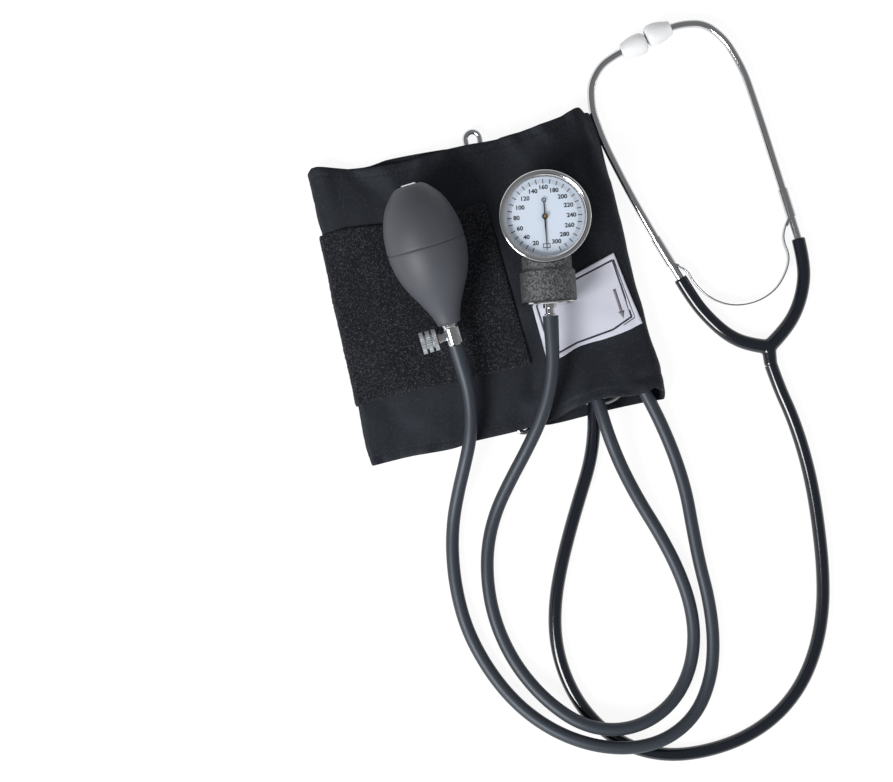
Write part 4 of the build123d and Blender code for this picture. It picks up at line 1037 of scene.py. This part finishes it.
def dial_spot(value, radius, height=0.0):
    """Matrix of a place on the dial whose local Y points outwards."""
    turn = math.radians(value * DEGREES_PER_UNIT)
    place = Vector((-radius * math.sin(turn), -radius * math.cos(turn), DIAL_TOP + height)) * MM
    return DIAL_PLACE @ Matrix.Translation(place) @ Matrix.Rotation(math.pi - turn, 4, "Z")


def bar(shape, spot, wide, tall):
    """A flat printed bar round a spot."""
    size = Matrix.Diagonal((wide * MM, tall * MM, PRINT * MM, 1.0))
    bmesh.ops.create_cube(shape, size=1.0, matrix=spot @ size)


def number_mesh(text, size):
    """A plain number as a thin solid about its own middle."""
    line = bpy.data.curves.new(f"number_{text}", "FONT")
    line.body = text
    line.size = size * MM
    line.align_x, line.align_y = "CENTER", "CENTER"
    line.extrude = PRINT * MM / 2
    line.offset = 0.11 * MM
    line.resolution_u = 3
    holder = in_scene(f"number_{text}", line)
    bpy.context.view_layer.update()
    return mesh_of(holder)


strokes, fine_strokes = bmesh.new(), bmesh.new()
for value in range(20, 301, 2):
    if value % 10 == 0:
        bar(strokes, dial_spot(value, STROKES_AT, PRINT / 2), 0.48, 2.3)
    else:
        bar(fine_strokes, dial_spot(value, STROKES_AT, PRINT / 2), 0.24, 1.9)
for side in (-1, 1):
    bar(strokes, dial_spot(0, BOX_AT + side, PRINT / 2), BOX_WIDE, BOX_LINE)
for side in (-1, 1):
    box_end = Matrix.Translation((side * 1.75 * MM, 0, 0))
    bar(strokes, dial_spot(0, BOX_AT, PRINT / 2) @ box_end, BOX_LINE, 2.0)
for value in range(20, 301, 20):
    number = number_mesh(str(value), 3.0)
    turn = math.radians(value * DEGREES_PER_UNIT)
    out_x, out_y = -math.sin(turn), -math.cos(turn)
    reach = NUMBERS_END - abs(out_x) * (2.35 if value > 99 else 1.55) - abs(out_y) * 1.1
    place = Vector((out_x * reach, out_y * reach, DIAL_TOP + PRINT / 2)) * MM
    number.transform(DIAL_PLACE @ Matrix.Translation(place) @ Matrix.Diagonal((1.07, 1.0, 1.0, 1.0)))
    strokes.from_mesh(number)
    bpy.data.meshes.remove(number)
printed("dial_print", strokes, DIAL_INK, smooth=False)
printed("dial_fine_print", fine_strokes, PALE_INK, smooth=False)


# Pointer's collar: a thin black ring round the brass hub, pressed on above the pointer. It
# turns with the pointer.

UPWARD = Vector((0, 0, 1))
RING_BLACK = (0.012, 0.012, 0.014, 1)
HUB_RING = [(-0.35, 0.8), (-0.35, 1.35), (0.0, 1.35), (0.05, 1.2), (0.05, 0.8)]
hub_mesh = turned("hub_ring", HUB_RING, Vector((0.0383, 0.0248, 0.0406)), UPWARD, 32)
hub_ring = piece("hub_ring", hub_mesh, ink("hub_black", RING_BLACK))
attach(hub_ring, "pointer_group")


# Chest piece's shade ring: a thin black ring laid on the rim of the chest piece, as painted
# shade between the rim's bright arcs. Only a short arc of it shows, in the mouth of the cuff.

CHEST_SHADE_RING = [(-0.05, 16.9), (-0.05, 18.2), (0.15, 18.2), (0.15, 16.9)]
chest_shade_mesh = turned("chest_shade_ring", CHEST_SHADE_RING, Vector((0.0495, -0.0570, 0.0070)), UPWARD, 96)
# painted shade: this black ring darkens the band between the rim's arcs, where only shade falls
chest_shade_ring = piece("chest_shade_ring", chest_shade_mesh, ink("painted_shade_black", RING_BLACK), smooth=False)
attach(chest_shade_ring, ROOT)


# Ear tips: soft white plastic, round at the opening and drawn in at the tube. Each is
# pushed over the end of its ear tube.

EAR_OUTLINE = [(0.0, 1.0), (0.0, 3.0), (0.25, 3.9), (1.1, 5.1), (2.5, 5.7), (4.2, 5.85), (6.3, 5.75),
               (8.4, 5.45), (10.4, 4.9), (12.0, 4.3), (13.2, 3.95), (13.8, 3.75), (14.0, 3.45),
               (14.0, 2.12), (3.3, 2.12), (3.3, 1.0)]


def soft_white():
    m = Material("soft_white")
    tone = m.noise(120.0, 2.0)
    colour = m.mix(tone, (0.61, 0.62, 0.63, 1), (0.66, 0.67, 0.68, 1))
    return m.done(Base_Color=colour, Roughness=tone * 0.1 + 0.38)


def round_edges(obj, width):
    """Two-step rounding of a piece's sharp edges."""
    edge = obj.modifiers.new("round_off", "BEVEL")
    edge.width, edge.segments, edge.limit_method = width * MM, 2, "ANGLE"


ear_white = soft_white()
for side, end, inward, rider in (
    ("left", (113.4, 105.06, 5.87), (99.0, 102.9, 5.5), ROOT),
    ("right", (113.6, 107.24, 5.87), (132.8, 110.15, 5.5), "right_ear"),
):
    name, origin = f"ear_tip_soft_{side}", Vector(end) * MM
    tip = piece(name, turned(name, EAR_OUTLINE, origin, Vector(inward) * MM - origin, 40), ear_white)
    round_edges(tip, 0.25)
    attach(tip, rider)
    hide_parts(f"ear_tip_{side}")


# Leaf spring: one flat strip of spring steel on edge, riveted between the two crimped
# sleeves.

LEAF_ROUTE = [(103.2, -13.9), (107.6, -16.6), (109.4, -24.4), (116.0, -34.4), (126.2, -40.8),
              (138.8, -42.0), (150.6, -38.0), (158.2, -29.8), (161.9, -22.0), (160.4, -14.0),
              (161.7, -8.2), (164.5, -4.3)]
LEAF_LEVEL, LEAF_THICK, LEAF_TALL = 3.6, 0.7, 5.0


def route_points(route, count):
    """Places on the smooth curve that has the route as its control points."""
    line = tube_along("route", route, 0.0)
    line.data.bevel_depth = 0.0
    line.data.use_fill_caps = False
    line.data.resolution_u = count
    bpy.context.view_layer.update()
    mesh = mesh_of(line)
    points = [vert.co.copy() for vert in mesh.vertices]
    bpy.data.meshes.remove(mesh)
    return points


def leaf_mesh():
    """A strip on edge along the route, swept as a ribbon and thickened."""
    points = route_points([(x, y, LEAF_LEVEL) for x, y in LEAF_ROUTE], 6)
    shape = bmesh.new()
    rise = Vector((0, 0, LEAF_TALL / 2 * MM))
    edges = [shape.edges.new((shape.verts.new(p - rise), shape.verts.new(p + rise))) for p in points]
    for a, b in zip(edges, edges[1:]):
        bmesh.ops.bridge_loops(shape, edges=[a, b])
    bmesh.ops.recalc_face_normals(shape, faces=shape.faces)
    rough = in_scene("leaf_rough", mesh_from("leaf_strip", shape))
    gauge = rough.modifiers.new("gauge", "SOLIDIFY")
    gauge.thickness, gauge.offset = LEAF_THICK * MM, 0.0
    round_edges(rough, 0.12)
    bpy.context.view_layer.update()
    return mesh_of(rough)


def spring_steel():
    m = Material("spring_steel")
    mark = m.noise(220.0, 4.0)
    return m.done(Base_Color=(0.52, 0.54, 0.57, 1), Metallic=1.0, Roughness=mark * 0.12 + 0.18)


leaf = piece("leaf_strip", leaf_mesh(), spring_steel(), smooth=False)
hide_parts("leaf_spring")
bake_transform(leaf)


# All other pieces keep their own solids and get their finish here: plated and turned metal,
# moulded rubber, wrinkle paint on the gauge's case, enamel, and the clear crystal.


def chrome_plate():
    m = Material("chrome_plate")
    mark = m.noise(180.0, 4.0)
    return m.done(Base_Color=(0.68, 0.69, 0.71, 1), Metallic=1.0, Roughness=mark * 0.08 + 0.08,
                  Normal=m.bump(m.noise(45.0, 2.0), 0.00006))


def knurled_plate():
    m = Material("knurled_plate")
    mark = m.noise(900.0, 3.0)
    return m.done(Base_Color=(0.74, 0.78, 0.82, 1), Metallic=1.0, Roughness=mark * 0.12 + 0.34,
                  Normal=m.bump(mark, 0.00008))


def turned_brass():
    m = Material("turned_brass")
    mark = m.noise(300.0, 3.0)
    colour = m.mix(mark, (0.60, 0.30, 0.08, 1), (0.78, 0.42, 0.14, 1))
    return m.done(Base_Color=colour, Metallic=0.7, Roughness=mark * 0.15 + 0.35)


def moulded_rubber():
    m = Material("moulded_rubber")
    mark = m.noise(40.0, 4.0)
    colour = m.mix(mark, (0.030, 0.031, 0.035, 1), (0.042, 0.044, 0.048, 1))
    return m.done(Base_Color=colour, Roughness=mark * 0.1 + 0.52,
                  Normal=m.bump(m.noise(1800.0, 2.0), 0.00003))


def wrinkle_paint():
    m = Material("wrinkle_paint")
    grain = m.noise(900.0, 4.0)
    fleck = m.noise(1300.0, 1.0)
    shade = m.node("ValToRGB", {"stops": [(0.40, grey(0.0)), (0.62, grey(1.0))]}, {0: grain})
    colour = m.mix(shade, (0.012, 0.013, 0.015, 1), (0.090, 0.093, 0.098, 1))
    colour = m.mix((fleck > 0.64) * 0.4, colour, (0.20, 0.20, 0.20, 1))
    return m.done(Base_Color=colour, Roughness=grain * 0.3 + 0.38, Normal=m.bump(grain, 0.00040))


def dial_enamel():
    m = Material("dial_enamel")
    tone = m.noise(30.0, 2.0)
    colour = m.mix(tone, (0.86, 0.93, 0.99, 1), (0.90, 0.95, 1.0, 1))
    return m.done(Base_Color=colour, Roughness=0.5)


def black_enamel():
    m = Material("black_enamel")
    return m.done(Base_Color=(0.012, 0.012, 0.013, 1), Roughness=m.noise(300.0) * 0.1 + 0.3)


def crystal():
    m = Material("crystal")
    clear = m.node("BsdfTransparent", None, {"Color": (0.97, 0.98, 1.0, 1)})
    gloss = m.node("BsdfGlossy", None, {"Color": (1, 1, 1, 1), "Roughness": 0.02})
    rim = m.node("Fresnel", None, {"IOR": 1.45})
    m.ends_in("OutputMaterial", m.node("MixShader", None, {0: rim * 0.5, 1: clear, 2: gloss}))
    return m.material


pile_look = pile.data.materials[0]
FINISHES = {
    "chrome": chrome_plate(), "brass": turned_brass(), "spring_steel": leaf.data.materials[0],
    "bladder_rubber": moulded_rubber(), "bulb_rubber": bulb.data.materials[0], "case_paint": wrinkle_paint(),
    "dial_enamel": dial_enamel(), "pointer_black": black_enamel(), "crystal": crystal(),
    "ear_tip_soft": ear_white, "diaphragm_film": ear_white, "hook_tape": pile_look, "loop_pile": pile_look,
    "nylon_cloth": cloth_material, "label_satin": label.data.materials[0], "hose_rubber": rubber,
    "sound_vinyl": vinyl,
}
for part in frame["record"]["subparts"]:
    mesh = nodes[part["node"]].data
    mesh.materials.clear()
    mesh.materials.append(FINISHES[part["material_slot"]])
nodes["release_knob"].data.materials[0] = knurled_plate()
